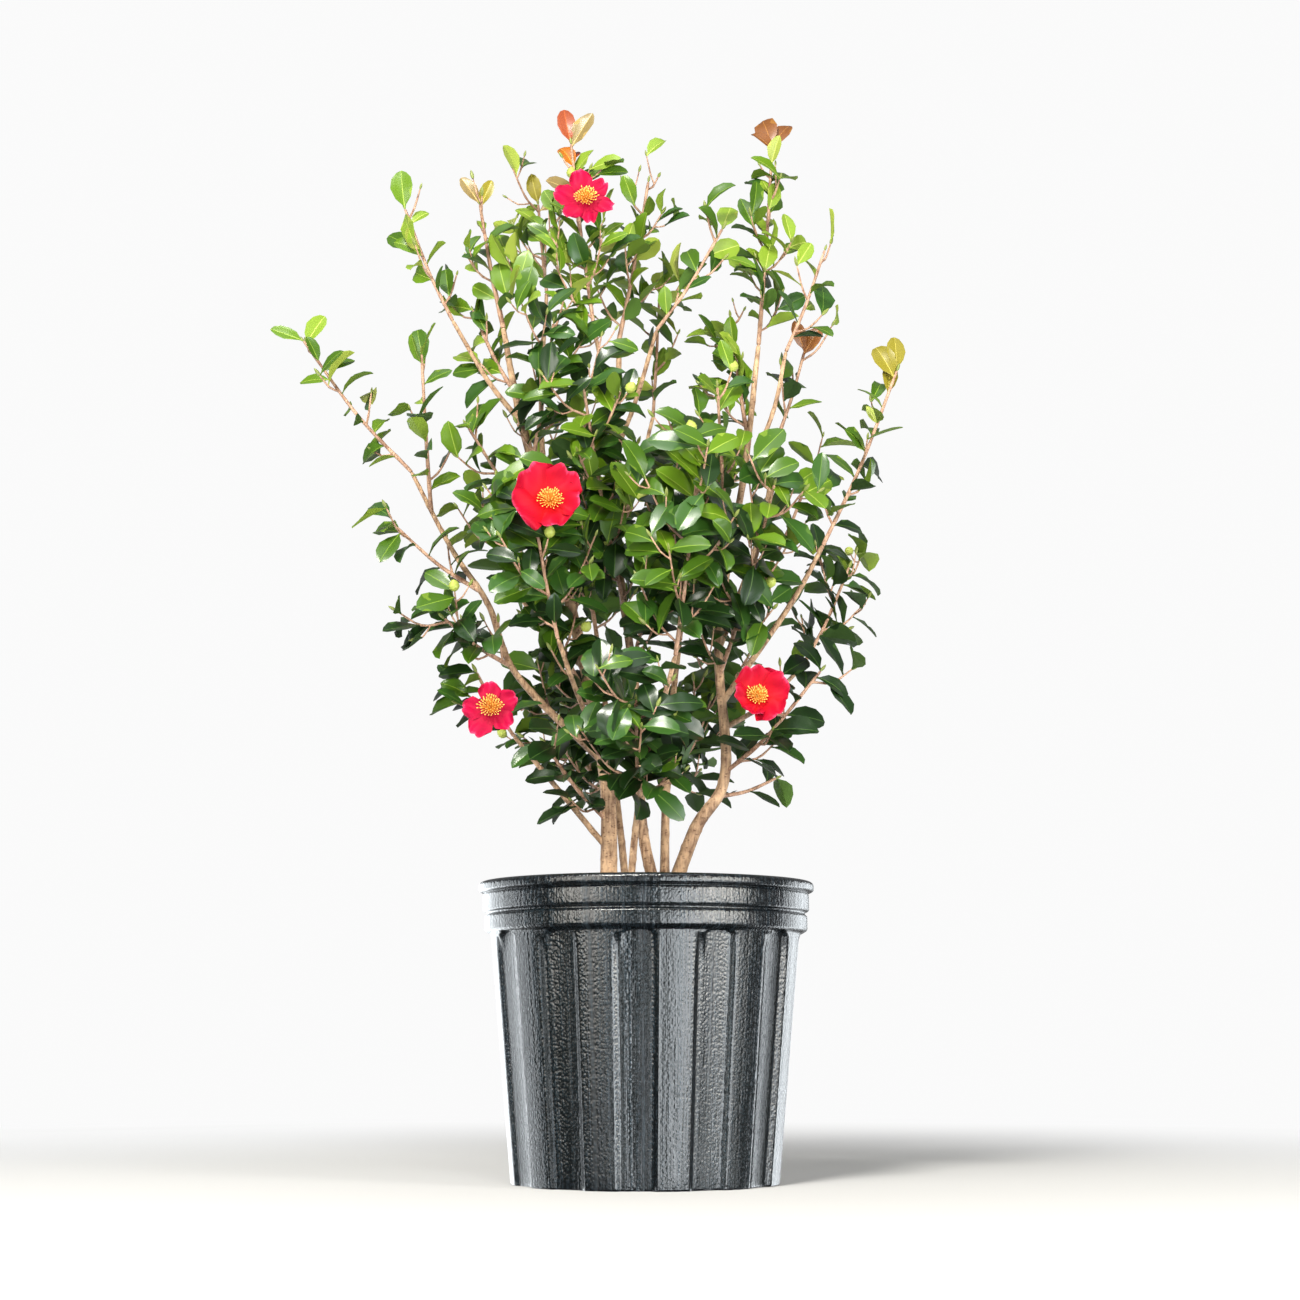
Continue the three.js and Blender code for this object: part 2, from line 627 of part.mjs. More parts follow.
const shrub = new THREE.Group();

function addPart(name, solid, material) {
  const part = new THREE.Mesh(toGeometry(solid), material);
  part.name = name;
  shrub.add(part);
}

const plastic = new THREE.MeshStandardMaterial({ color: COLOURS.plastic, roughness: 0.45, metalness: 0 });
const soil = new THREE.MeshStandardMaterial({ color: COLOURS.soil, roughness: 1, metalness: 0 });
const bark = new THREE.MeshStandardMaterial({ color: COLOURS.bark, roughness: 0.8, metalness: 0 });
const leafGreen = new THREE.MeshStandardMaterial({ color: COLOURS.leaf, roughness: 0.4, metalness: 0 });

addPart("pot", makePot(), plastic);
addPart("potting_mix", makePottingMix(), soil);

// Limbs grow in their order, each cut clear of those before it and flat at the soil
const belowSoil = toSolid(new THREE.BoxGeometry(300, 300, FOOT_CUT).translate(0, 0, FOOT_CUT / 2));
const limbs = new Map();
const clearSpaces = [belowSoil];
for (const row of LIMBS) {
  const limb = limbShape(row, limbs);
  const cut = clearSpaces.reduce((solid, space) => solid.subtract(space), limbSolid(limb, 0));
  limbs.set(limb.name, limb);
  clearSpaces.push(limbSolid(limb, CLEARANCE));
  addPart(limb.name, mainBody(cut), bark);
}

const limbList = [...limbs.values()];
const masses = MASSES.map((row) => massShape(row, limbs));
const blooms = masses.filter((mass) => mass.bloom).map((mass) => vector(mass.bloom));
masses.forEach((mass, i) => {
  const solid = massSolid(mass, SEED + i, masses, limbList, blooms);
  const cut = clearSpaces.reduce((rest, space) => rest.subtract(space), solid);
  addPart(mass.name, mainBody(cut), leafGreen);
});

export default shrub;
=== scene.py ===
# %% [markdown]
# # A camellia shrub in its nursery pot
#
# The solids come packed as a fixed frame: a pot, the potting mix, six stems, fourteen boughs and
# thirty-eight coarse masses of leaves. This file dresses them. Bark, twigs, leaves, flowers and
# the moulded pot are worked out as whole arrays of points and put into meshes. All sizes are in
# millimetres until a mesh is filled, because that is how a gardener and a pot maker measure.

import math

import bpy
import numpy as np
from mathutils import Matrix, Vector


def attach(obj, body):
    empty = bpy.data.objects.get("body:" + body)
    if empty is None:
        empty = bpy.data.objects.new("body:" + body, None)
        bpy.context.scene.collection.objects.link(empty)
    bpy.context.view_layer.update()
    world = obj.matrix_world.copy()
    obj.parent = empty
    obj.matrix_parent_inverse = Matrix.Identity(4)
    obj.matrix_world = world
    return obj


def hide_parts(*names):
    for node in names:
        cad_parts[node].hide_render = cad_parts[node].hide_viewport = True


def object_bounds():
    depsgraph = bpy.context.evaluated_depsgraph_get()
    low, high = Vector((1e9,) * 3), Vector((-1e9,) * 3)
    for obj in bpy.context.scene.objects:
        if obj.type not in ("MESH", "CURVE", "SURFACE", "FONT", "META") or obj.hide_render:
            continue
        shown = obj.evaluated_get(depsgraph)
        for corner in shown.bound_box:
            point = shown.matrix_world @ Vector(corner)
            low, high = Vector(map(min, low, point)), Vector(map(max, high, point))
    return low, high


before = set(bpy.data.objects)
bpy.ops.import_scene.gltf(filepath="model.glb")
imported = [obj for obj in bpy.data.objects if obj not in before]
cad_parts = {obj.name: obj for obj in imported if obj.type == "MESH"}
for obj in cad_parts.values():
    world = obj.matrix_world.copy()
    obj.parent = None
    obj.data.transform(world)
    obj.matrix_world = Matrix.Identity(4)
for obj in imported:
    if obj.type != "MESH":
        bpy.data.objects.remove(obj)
CAD_BOX = [list(corner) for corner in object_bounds()]
MM = 0.001
UP = np.array([0.0, 0.0, 1.0])
print("solids", len(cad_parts), "box", CAD_BOX)

# %% [markdown]
# ## Three tools that every piece uses
#
# A colour is written as the hex value that a screen shows, so it has to be turned to linear light
# before a shader can use it. A node is added with its settings and links in one call. A mesh is
# filled from arrays, which is quick even for a hundred thousand points.

# %% Colour and shader nodes


def linear(hex_colour):
    """Screen colour to linear light: a dark part over 12.92, or a power of 2.4 above it."""
    screen = np.array([int(hex_colour[i:i + 2], 16) for i in (1, 3, 5)]) / 255
    light = np.where(screen <= 0.04045, screen / 12.92, ((screen + 0.055) / 1.055) ** 2.4)
    return (*light, 1.0)


def feed(material, node, **inputs):
    """Gives inputs of a node, by name or number, what each is to have: a value, or a socket to
    link. It returns the node."""
    for key, value in inputs.items():
        socket = node.inputs[int(key[1:]) if key[1:].isdigit() else key.replace("_", " ")]
        if isinstance(value, bpy.types.NodeSocket):
            material.node_tree.links.new(value, socket)
        else:
            socket.default_value = value
    return node


def add_node(material, kind, settings=None, stops=(), **inputs):
    """Adds a node. Settings are its own properties, and stops a ramp's places and hex colours,
    from low to high."""
    node = material.node_tree.nodes.new(kind)
    for key, value in (settings or {}).items():
        setattr(node, key, value)
    for place, _ in stops[1:-1]:
        node.color_ramp.elements.new(place)
    for number, (place, colour) in enumerate(stops):
        step = node.color_ramp.elements[number]
        step.position, step.color = place, linear(colour)
    return feed(material, node, **inputs)


def new_material(name, hex_colour, roughness, **inputs):
    """A material with one Principled shader, whose plain values sit on its own sockets."""
    material = bpy.data.materials.new(name)
    material.use_nodes = True
    shader = material.node_tree.nodes["Principled BSDF"]
    feed(material, shader, Base_Color=linear(hex_colour), Roughness=roughness, **inputs)
    return material, shader


# %% Parts, and the volume that they close


def join(parts):
    """Parts are (points, blocks of faces with the same number of corners). One part of them all."""
    points = np.concatenate([part[0] for part in parts])
    offsets = np.cumsum([0] + [len(part[0]) for part in parts])
    blocks = {}
    for (_, faces), offset in zip(parts, offsets):
        for block in faces:
            blocks.setdefault(block.shape[1], []).append(block + offset)
    return points, [np.concatenate(block) for block in blocks.values()]


def volume(points, faces):
    """Signed volume of a closed mesh, as the sum of the tetrahedra that fans of its faces make
    with the origin. It is above zero if the faces point outwards."""
    total = 0.0
    for block in faces:
        first = points[block[:, 0]]
        for k in range(1, block.shape[1] - 1):
            a, b = points[block[:, k]], points[block[:, k + 1]]
            total += np.einsum("ij,ij->", first, np.cross(a, b)) / 6
    return total


# %% Points and faces into a mesh


def add_piece(name, part, materials, which=None, crease=50, uv=None):
    """A mesh object from a part in millimetres. which gives each face's material, crease the
    angle in degrees past which an edge is sharp, and uv each point's place on its surface."""
    points, faces = part
    corners = np.concatenate([block.ravel() for block in faces]).astype(np.int32)
    sizes = np.concatenate([np.full(len(block), block.shape[1]) for block in faces])
    mesh = bpy.data.meshes.new(name)
    mesh.vertices.add(len(points))
    mesh.vertices.foreach_set("co", (points * MM).astype(np.float32).ravel())
    mesh.loops.add(len(corners))
    mesh.loops.foreach_set("vertex_index", corners)
    mesh.polygons.add(len(sizes))
    mesh.polygons.foreach_set("loop_start", (np.cumsum(sizes) - sizes).astype(np.int32))
    if which is not None:
        mesh.polygons.foreach_set("material_index", np.asarray(which, np.int32))
    mesh.update(calc_edges=True)
    mesh.polygons.foreach_set("use_smooth", np.ones(len(sizes), bool))
    mesh.set_sharp_from_angle(angle=math.radians(crease))
    if uv is not None:
        mesh.uv_layers.new(name="surface").data.foreach_set("uv", uv[corners].ravel())
    for material in materials:
        mesh.materials.append(material)
    piece = bpy.data.objects.new(name, mesh)
    bpy.context.scene.collection.objects.link(piece)
    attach(piece, "root")
    print(name, "triangles", int((sizes - 2).sum()), "volume ml",
          round(volume(points, faces) / 1000, 2))
    return piece


# %% [markdown]
# ## Chance that is always the same
#
# A plant looks alive because no two leaves are alike, yet the script has to give the same plant
# each time. So chance comes from the fraction of a large sine, not from a random generator. The
# same idea at the corners of a lattice, blended in between, gives the soft unevenness of bark.

# %% Chance and soft noise


def chance(seed, count):
    """The fractional part of a large sine: a number from 0 to 1 for each seed and count."""
    value = np.sin(seed * 12.9898 + count * 78.233) * 43758.5453
    return value - np.floor(value)


def between(low, high, share):
    """low at share 0, high at share 1."""
    return low + (high - low) * share


def smooth(share):
    """An S-shaped step from 0 to 1: three squares less two cubes of the share."""
    share = np.clip(share, 0, 1)
    return share * share * (3 - 2 * share)


def soft_noise(points, grain, seed=0.0):
    """From -1 to 1: chance values at the corners of boxes of side grain, blended by smooth."""
    place = points / np.asarray(grain, float)
    low = np.floor(place)
    part = smooth(place - low)
    total = 0.0
    for corner in np.ndindex(2, 2, 2):
        weight = np.prod(np.where(corner, part, 1 - part), axis=-1)
        mixed = (low + corner) @ np.array([1.0, 57.31, 113.97])
        total = total + weight * chance(seed, mixed)
    return 2 * total - 1


def unit(vectors):
    """Vectors brought to length one."""
    return vectors / np.linalg.norm(vectors, axis=-1, keepdims=True)


# %% [markdown]
# ## The skeleton
#
# These are the same rows as in the solids: where each stem stands, the points that it passes, its
# tip and its girth, then the masses with their own stems and spreads. Only two flowers, of the
# masses front_left and right_low, stand 10 and 6 mm away from where the solids have them. Growing
# the fine plant on the same skeleton, by the same rule, is what makes the two agree.

# %% The skeleton's sizes and rows
SOIL_LEVEL = 221
FOOT_DEPTH = 8
FLARE = 0.6
FLARE_HEIGHT = 13
BOUGH_BOW = 0.06
MASS_BOW = 0.05
CLEARANCE = 0.3
SEED = 10
GOLDEN_ANGLE = math.radians(137.5)

LIMBS = {
    "stem_left": dict(foot=(-31, -5), by=[(-34, -8, 336), (-61, -14, 467), (-106, -20, 636)],
                      tip=(-123, -22, 721), girth=(7.2, 2.3)),
    "stem_centre": dict(foot=(15, -14), by=[(-3, -8, 291), (-8, 0, 400), (-24, 8, 537)],
                        tip=(-24, 20, 722), girth=(5.4, 2.1)),
    "stem_right": dict(foot=(12, 8), by=[(41, 0, 290), (67, 0, 340), (62, 0, 461), (84, -5, 596)],
                       tip=(98, 8, 715), girth=(6.4, 2)),
    "stem_front": dict(foot=(-15, -21), by=[(-5, -42, 313)], tip=(24, -88, 425), girth=(3.3, 2)),
    "stem_back": dict(foot=(15, 25), by=[(17, 48, 320), (22, 78, 400)], tip=(30, 104, 470),
                      girth=(4.2, 2.2)),
    "stem_back_left": dict(foot=(-14, 14), by=[(-24, 38, 310)], tip=(-44, 100, 470),
                           girth=(3.4, 2.1)),
    "bough_left_arch": dict(on="stem_left", height=636, tip=(-166, -30, 725), girth=(2.4, 1.6)),
    "bough_left_inner": dict(on="stem_left", height=548, by=[(-92, 26, 655)], tip=(-89, 48, 775),
                             girth=(2.6, 1.6)),
    "bough_left_far": dict(on="stem_left", height=345,
                           by=[(-108, -25, 418), (-133, -30, 478), (-165, -25, 527)],
                           tip=(-200, -20, 594), girth=(3.4, 1.7)),
    "bough_left_low": dict(on="stem_left", height=272, by=[(-88, -20, 340)],
                           tip=(-110, -30, 366), girth=(2.6, 1.7)),
    "bough_centre_left": dict(on="stem_centre", height=640, tip=(-45, -6, 724), girth=(2.2, 1.7)),
    "bough_centre_right": dict(on="stem_centre", height=622, tip=(9, -25, 718), girth=(2.2, 1.6)),
    "bough_right_outer": dict(on="stem_right", height=584, by=[(108, -19, 645)],
                              tip=(120, -25, 699), girth=(2.2, 1.6)),
    "bough_right_inner": dict(on="stem_right", height=442, by=[(97, 26, 545)],
                              tip=(118, 35, 645), girth=(2.6, 1.6)),
    "bough_right_far": dict(on="stem_right", height=398, by=[(122, -15, 480)],
                            tip=(150, -22, 530), girth=(2.8, 1.8)),
    "bough_right_back": dict(on="stem_right", height=376, tip=(136, 46, 437), girth=(2.4, 1.7)),
    "bough_front_left": dict(on="stem_left", height=362, tip=(-72, -80, 440), girth=(2.6, 1.7)),
    "bough_back_right": dict(on="stem_right", height=478, tip=(116, 104, 545), girth=(2.4, 1.7)),
    "bough_back_left": dict(on="stem_left", height=425, tip=(-115, 92, 510), girth=(2.6, 1.7)),
    "bough_back_top": dict(on="stem_centre", height=545, tip=(6, 84, 670), girth=(2.2, 1.6)),
}

MASSES = {
    "far_left": dict(on="bough_left_far", tip=(-296, -15, 712), spread=48),
    "left_sprig": dict(on="bough_left_far", height=560, tip=(-190, -52, 690), spread=46),
    "left_shoot": dict(on="bough_left_arch", tip=(-210, -18, 830), spread=48),
    "left_tall": dict(on="stem_left", tip=(-144, -30, 830), spread=50),
    "left_upper": dict(on="bough_left_inner", tip=(-97, 42, 856), spread=56),
    "top": dict(on="bough_centre_left", tip=(-66, -12, 892), spread=56, bloom=(-52, -46, 828)),
    "centre_tall": dict(on="stem_centre", tip=(2, 28, 872), spread=54),
    "centre_arch": dict(on="bough_centre_right", tip=(66, -35, 806), spread=52),
    "right_tall": dict(on="stem_right", tip=(112, 14, 900), spread=48),
    "right_pair": dict(on="bough_right_outer", tip=(154, -32, 788), spread=48),
    "right_crown": dict(on="stem_right", height=625, tip=(74, 22, 745), spread=52),
    "right_upper": dict(on="bough_right_inner", tip=(141, 50, 722), spread=54),
    "far_right": dict(on="bough_right_far", tip=(214, -35, 680), spread=50),
    "right_bulge": dict(on="bough_right_back", tip=(180, 70, 530), spread=60),
    "right_low": dict(on="stem_right", height=338, by=[(101, -33, 366)], tip=(146, -42, 420),
                      spread=56, bloom=(91, -74, 393)),
    "right_foot": dict(on="stem_right", height=318, tip=(112, 34, 338), spread=52),
    "front_right": dict(on="stem_right", height=420, tip=(104, -122, 560), spread=62),
    "front": dict(on="stem_front", tip=(42, -136, 572), spread=62),
    "front_low": dict(on="stem_front", height=305, tip=(-8, -122, 385), spread=60),
    "front_left": dict(on="bough_front_left", tip=(-92, -98, 545), spread=62,
                       bloom=(-77, -128, 544)),
    "front_upper": dict(on="stem_centre", height=480, tip=(-52, -96, 650), spread=58),
    "centre_inner": dict(on="stem_centre", height=430, tip=(24, -36, 590), spread=52),
    "right_inner": dict(on="stem_right", height=520, tip=(60, -55, 660), spread=50),
    "left_crown": dict(on="stem_left", height=602, tip=(-78, -58, 715), spread=56),
    "left_arch": dict(on="stem_left", height=662, tip=(-152, 12, 748), spread=48),
    "left_inner": dict(on="stem_left", height=388, tip=(-100, -38, 512), spread=52),
    "left_middle_upper": dict(on="stem_left", height=530, tip=(-150, -54, 625), spread=56),
    "left_middle": dict(on="bough_left_far", height=488, tip=(-212, -30, 545), spread=56),
    "left_lower": dict(on="bough_left_far", height=425, tip=(-168, -55, 462), spread=56),
    "left_low": dict(on="bough_left_low", tip=(-142, -36, 420), spread=56, bloom=(-127, -70, 384)),
    "left_foot": dict(on="stem_left", height=296, tip=(-84, -46, 358), spread=52),
    "back": dict(on="stem_back", tip=(50, 150, 630), spread=66),
    "back_left": dict(on="stem_back_left", tip=(-66, 148, 635), spread=64),
    "back_right": dict(on="bough_back_right", tip=(150, 134, 630), spread=64),
    "back_far_left": dict(on="bough_back_left", tip=(-152, 114, 600), spread=62),
    "back_low": dict(on="stem_back", height=330, tip=(64, 148, 440), spread=60),
    "back_low_left": dict(on="stem_back_left", height=318, tip=(-98, 112, 425), spread=60),
    "back_top": dict(on="bough_back_top", tip=(12, 100, 790), spread=56),
}
print("limbs", len(LIMBS), "masses", len(MASSES))

# %% [markdown]
# ## Curves
#
# A living stem bends smoothly, so each one is a curve through its points: between two points it is
# a cubic whose slope at each end is half the way from the point before to the point after.

# %% Curves and frames along them


def curve_through(points):
    """A function from shares of the whole curve, 0 to 1, to points on it."""
    given = np.asarray(points, float)
    padded = np.concatenate([[2 * given[0] - given[1]], given, [2 * given[-1] - given[-2]]])

    def at(shares):
        place = np.clip(np.asarray(shares, float), 0, 1) * (len(given) - 1)
        piece = np.minimum(place.astype(int), len(given) - 2)
        t = (place - piece)[..., None]
        before, start, end, after = (padded[piece + k] for k in range(4))
        rise, fall = (end - before) / 2, (after - start) / 2
        square, cube = t * t, t * t * t
        return (start * (2 * cube - 3 * square + 1) + rise * (cube - 2 * square + t)
                + end * (3 * square - 2 * cube) + fall * (cube - square))

    return at


def heading(curve, shares):
    """The curve's direction at shares of its length, from two points close together."""
    shares = np.asarray(shares, float)
    return unit(curve(np.minimum(shares + 1e-4, 1)) - curve(np.maximum(shares - 1e-4, 0)))


def length_of(curve):
    """Sum of two hundred short steps."""
    return np.linalg.norm(np.diff(curve(np.linspace(0, 1, 201)), axis=0), axis=1).sum()


def square_axis(curve):
    """The world axis along which the curve's two ends are least apart."""
    return np.eye(3)[np.argmin(np.abs(curve(1.0) - curve(0.0)))]


def leaving(curve, share, angle, bearing):
    """The direction that leaves a curve at an angle to its heading, on a bearing round it."""
    along = heading(curve, share)
    side = unit(np.cross(square_axis(curve), along))
    across = np.cross(side, along)
    out = side * math.cos(bearing) + across * math.sin(bearing)
    return unit(along * math.cos(angle) + out * math.sin(angle))


def grown_curve(start, by, tip, bow):
    """Through the points in between, or one that hangs below the middle by a share of the
    length."""
    tip = np.asarray(tip, float)
    middle = (start + tip) / 2 - UP * bow * np.linalg.norm(tip - start)
    return curve_through([start, *(by or [middle]), tip])


def share_at_height(curve, height):
    """The first of 400 even shares where the curve has reached a height."""
    steps = np.arange(401) / 400
    above = curve(steps)[:, 2] >= height
    return float(steps[np.argmax(above)]) if above.any() else 1.0


# %% The limbs and the stems of the masses
for name, row in LIMBS.items():
    if "foot" in row:
        start = np.array([*row["foot"], SOIL_LEVEL - FOOT_DEPTH], float)
    else:
        parent = LIMBS[row["on"]]["curve"]
        start = parent(share_at_height(parent, row["height"]))
    row["curve"] = grown_curve(start, row.get("by"), row["tip"], BOUGH_BOW)
    row["length"] = length_of(row["curve"])


def limb_radius(row, shares):
    """Even taper from root to tip. A stem's foot swells by FLARE, which fades over FLARE_HEIGHT."""
    shares = np.asarray(shares, float)
    rise = np.maximum(0, shares * row["length"] - FOOT_DEPTH)
    swell = 1 + (FLARE if "foot" in row else 0) * np.exp(-rise / FLARE_HEIGHT)
    return between(*row["girth"], shares) * swell


for name, row in MASSES.items():
    limb = LIMBS[row["on"]]
    share = share_at_height(limb["curve"], row["height"]) if "height" in row else 1.0
    start = limb["curve"](share)
    if share == 1.0:
        start = start + heading(limb["curve"], 1.0) * CLEARANCE
    row["curve"] = grown_curve(start, row.get("by"), row["tip"], MASS_BOW)
    row["length"] = length_of(row["curve"])
    row["root_radius"] = 2.0 if "height" in row else float(limb_radius(limb, 1.0))
print("longest stem mm", round(max(row["length"] for row in LIMBS.values())))

# %% [markdown]
# ## Room to grow
#
# A twig or leaf may only grow where its mass has room: within the mass's spread, nearer to its
# own stem than to any other as shares of their spreads, and clear of every limb. All of it rests
# on one sum, the distance from points to short straight pieces of the skeleton.

# %% Distances and room
SPINE_STEPS = np.arange(25) / 24
LIMB_MARGIN = 1.2
SPACE_MARGIN = 0.8


def spine_ends(rows):
    """Start and end points of 24 straight pieces for each row, one row after the other."""
    lines = np.array([row["curve"](SPINE_STEPS) for row in rows])
    return lines[:, :-1].reshape(-1, 3), lines[:, 1:].reshape(-1, 3)


def distances(points, starts, ends, bulk=0.0):
    """Nearest distance from each point to the 24 pieces of each row, less their bulk. The nearest
    spot on a piece is where the point's shadow falls on it, held between its ends."""
    run = ends - starts
    share = np.einsum("psk,sk->ps", points[:, None] - starts, run) / np.einsum("sk,sk->s", run, run)
    spot = starts + np.clip(share, 0, 1)[..., None] * run
    gap = np.linalg.norm(points[:, None] - spot, axis=-1) - bulk
    return gap.reshape(len(points), -1, 24).min(axis=-1)


LIMB_STARTS, LIMB_ENDS = spine_ends(LIMBS.values())
LIMB_BULK = np.concatenate([limb_radius(row, SPINE_STEPS[:-1]) for row in LIMBS.values()])
MASS_STARTS, MASS_ENDS = spine_ends(MASSES.values())
SPREADS = np.array([row["spread"] for row in MASSES.values()], float)
BLOOMS = np.array([row["bloom"] for row in MASSES.values() if "bloom" in row], float)
BLOOM_ROOM = 27.0
LOW = np.array(CAD_BOX[0]) / MM
HIGH = np.array(CAD_BOX[1]) / MM


def has_room(points, mass):
    """Whether all the points lie in the space of the mass with that number."""
    inside = (points > LOW).all() and (points < HIGH).all() and points[:, 2].min() > SOIL_LEVEL + 3
    if not inside:
        return False
    gaps = distances(points, MASS_STARTS, MASS_ENDS)
    own = gaps[:, mass] / SPREADS[mass]
    others = (gaps - SPACE_MARGIN) / SPREADS
    others[:, mass] = np.inf
    if own.max() > 1 or (own >= others.min(axis=1)).any():
        return False
    return distances(points, LIMB_STARTS, LIMB_ENDS, LIMB_BULK).min() > LIMB_MARGIN


def clear_of_blooms(points):
    """Whether all the points stay out of the ball of space round each flower."""
    return np.linalg.norm(points[:, None] - BLOOMS, axis=-1).min() > BLOOM_ROOM


# %% [markdown]
# ## Growing twigs and leaves
#
# The rule is the solids' own, carried on to finer twigs. Twigs leave a mass's stem a golden angle
# apart, which keeps any two from standing in line, and twiglets leave the twigs in the same way.
# Leaves stand along each shoot, about as far apart as on the real plant, and turn their faces to
# the light, up and outwards. One that has no room is turned by a fifth and tried again. The rule
# alone grows every mass equally full. A real shrub isn't, so a table says how full each one is,
# as seen from the front: under one opens the spray to the sky, over one crowds it. The last
# leaves of some shoots are set one by one, because their colours and places show most.

# %% Where a leaf stands and what it faces
OPEN_CROWN = (600, 800)
LEAF_ANGLE = math.radians(54)
CROWN_AXIS = np.array([-10.0, 10.0, 0.0])
CROWN_HALF = np.array([230.0, 150.0, 1.0])
LIGHT_RISE = (0.75, 0.4)
LIGHT_TURN = (0.6, 0.3)


def openness(z):
    """0 in the dense lower crown, 1 in its open top."""
    return float(np.clip((z - OPEN_CROWN[0]) / (OPEN_CROWN[1] - OPEN_CROWN[0]), 0, 1))


def leaf_place(curve, share, bearing, seed, count):
    """Root, direction and face of a leaf. The direction leaves the shoot at an angle and gives way
    to the light, which comes from above, from outside the crown and a little from the front, each
    leaf's somewhat apart."""
    root = curve(share)
    sparse = openness(root[2])
    angle = LEAF_ANGLE * between(0.7, 1.2, chance(seed, count)) * between(1, 0.8, sparse)
    along = leaving(curve, share, angle, bearing)
    light = (root - CROWN_AXIS) / CROWN_HALF * [1, 1, 0] + UP * between(*LIGHT_RISE, sparse)
    light[0] += between(-0.65, 0.65, chance(seed, count + 1))
    light[1] += between(-0.95, 0.2, chance(seed, count + 2))
    light = unit(light)
    along = unit(along - between(*LIGHT_TURN, sparse) * along.dot(light) * light)
    face = unit(light - light.dot(along) * along)
    return root, along, face


# %% Leaves along a shoot
LEAF_LENGTH = 36
LEAF_PITCH = (8.8, 10.5)
LEAF_ROOM = (7.2, 8.4)
TRIES = 5
FIFTH_TURN = math.pi * 0.4


def leaf_spots(root, along, face, size):
    """Six spots on a leaf: its middle, both edges there, two further out and its tip."""
    across = np.cross(face, along)
    length = np.array([0.5, 0.5, 0.5, 0.78, 0.78, 1.0])[:, None] * LEAF_LENGTH * size
    width = np.array([0, -1, 1, -0.6, 0.6, 0])[:, None] * LEAF_LENGTH * size * 0.27
    return root + along * length + across * width


def grow_shoot_leaves(curve, length, seed, bare, mass, leaves, fullness=1.0):
    """Adds leaves along a shoot from a bare share of it to its tip. The last one goes on from
    the tip. An open spray has fullness under one and stands its leaves further apart."""
    sparse = openness(curve(0.7)[2])
    count = max(1, int(length * (1 - bare) / between(*LEAF_PITCH, sparse) * fullness))
    for i in range(count + 1):
        share = 1 - 0.8 / length if i == count else between(bare, 1, (i + 0.4) / count)
        size = between(0.78, 1.16, chance(seed, 20 + i)) * between(1, 0.84, sparse)
        for attempt in range(TRIES):
            bearing = seed * 2 + i * GOLDEN_ANGLE + attempt * FIFTH_TURN
            root, along, face = leaf_place(curve, share, bearing, seed, 30 + 3 * i)
            spots = leaf_spots(root, along, face, size)
            near = leaves and min(np.linalg.norm(leaf["middle"] - spots[0]) for leaf in leaves)
            apart = not leaves or near > between(*LEAF_ROOM, sparse)
            if apart and clear_of_blooms(spots) and has_room(spots, mass):
                leaves.append(dict(root=root, along=along, face=face, size=size, middle=spots[0],
                                   young=share if length > 30 else 0.5 * share,
                                   seed=seed + i * 1.7))
                break


# %% Leaves set one by one at the tips
TIP_LEAVES = {
    "top": [(0, (-0.24, -0.1, 1), 1.0, "orange"), (3, (0.58, -0.15, 1), 1.0, "tan"),
            (20, (-0.35, -0.2, 1), 0.72, "amber"), (40, (-0.8, -0.3, 0.3), 0.8, "tan"),
            (32, (0.8, 0.2, 0.6), 0.8, "bright_green"), (14, (0.2, 0.5, 0.9), 0.6, "orange")],
    "right_tall": [(0, (-0.3, 0.1, 1), 1.0, "bronze"), (2, (0.5, 0.1, 1), 0.98, "bronze"),
                   (4, (-0.75, -0.3, 1), 0.7, "bronze"),
                   (16, (0.2, -0.45, 0.75), 0.74, "lime_green"),
                   (40, (-0.3, 0.3, 0.8), 0.5, "light_green")],
    "far_right": [(6, (-0.5, -0.2, 1), 0.95, "olive_gold"),
                  (0, (-0.02, -0.1, 1), 0.92, "olive_gold"),
                  (20, (0.12, 0.2, 1), 0.9, "olive_gold"),
                  (44, (-0.4, -0.3, 0.6), 0.5, "lime_green")],
    "left_shoot": [(0, (-0.15, -0.2, 1), 0.98, "bright_green"),
                   (14, (0.7, 0.1, 0.8), 0.6, "light_green"),
                   (44, (-0.75, -0.3, 0.7), 0.86, "bright_green")],
    "left_tall": [(0, (-0.6, -0.2, 0.9), 0.82, "tan"), (3, (0.35, -0.1, 1), 0.75, "olive_gold"),
                  (22, (-0.2, 0.2, 1), 0.5, "light_green")],
    "left_upper": [(0, (-0.25, -0.2, 1), 0.8, "olive_gold"), (6, (0.8, -0.2, 0.5), 0.7, "tan"),
                   (18, (-0.5, -0.4, 0.5), 0.75, "light_green")],
    "far_left": [(0, (-0.9, -0.1, 0.35), 0.85, "bright_green"),
                 (4, (0.5, -0.2, 1), 0.85, "light_green"),
                 (22, (-0.4, -0.3, 1), 0.7, "mid_green"), (30, (0.8, 0.1, 0.5), 0.8, "mid_green")],
    "right_upper": [(0, (-0.35, -0.3, 1), 0.8, "bronze"), (4, (0.5, -0.3, 0.9), 0.85, "bronze")],
}


def tip_leaf(row, back, along, size, tone, mass, number):
    """A leaf given at a distance back from a mass's tip. Its face is the part of a
    direction, from the front and above, that is square to the leaf."""
    root = row["curve"](1 - (back + 0.8) / row["length"])
    along = unit(np.array(along, float))
    towards = np.array([0.25 * (number % 3 - 1), -1.0, 0.5])
    face = unit(towards - towards.dot(along) * along)
    return dict(root=root, along=along, face=face, size=size, young=1.0,
                seed=mass * 7.3 + number, tone=tone)


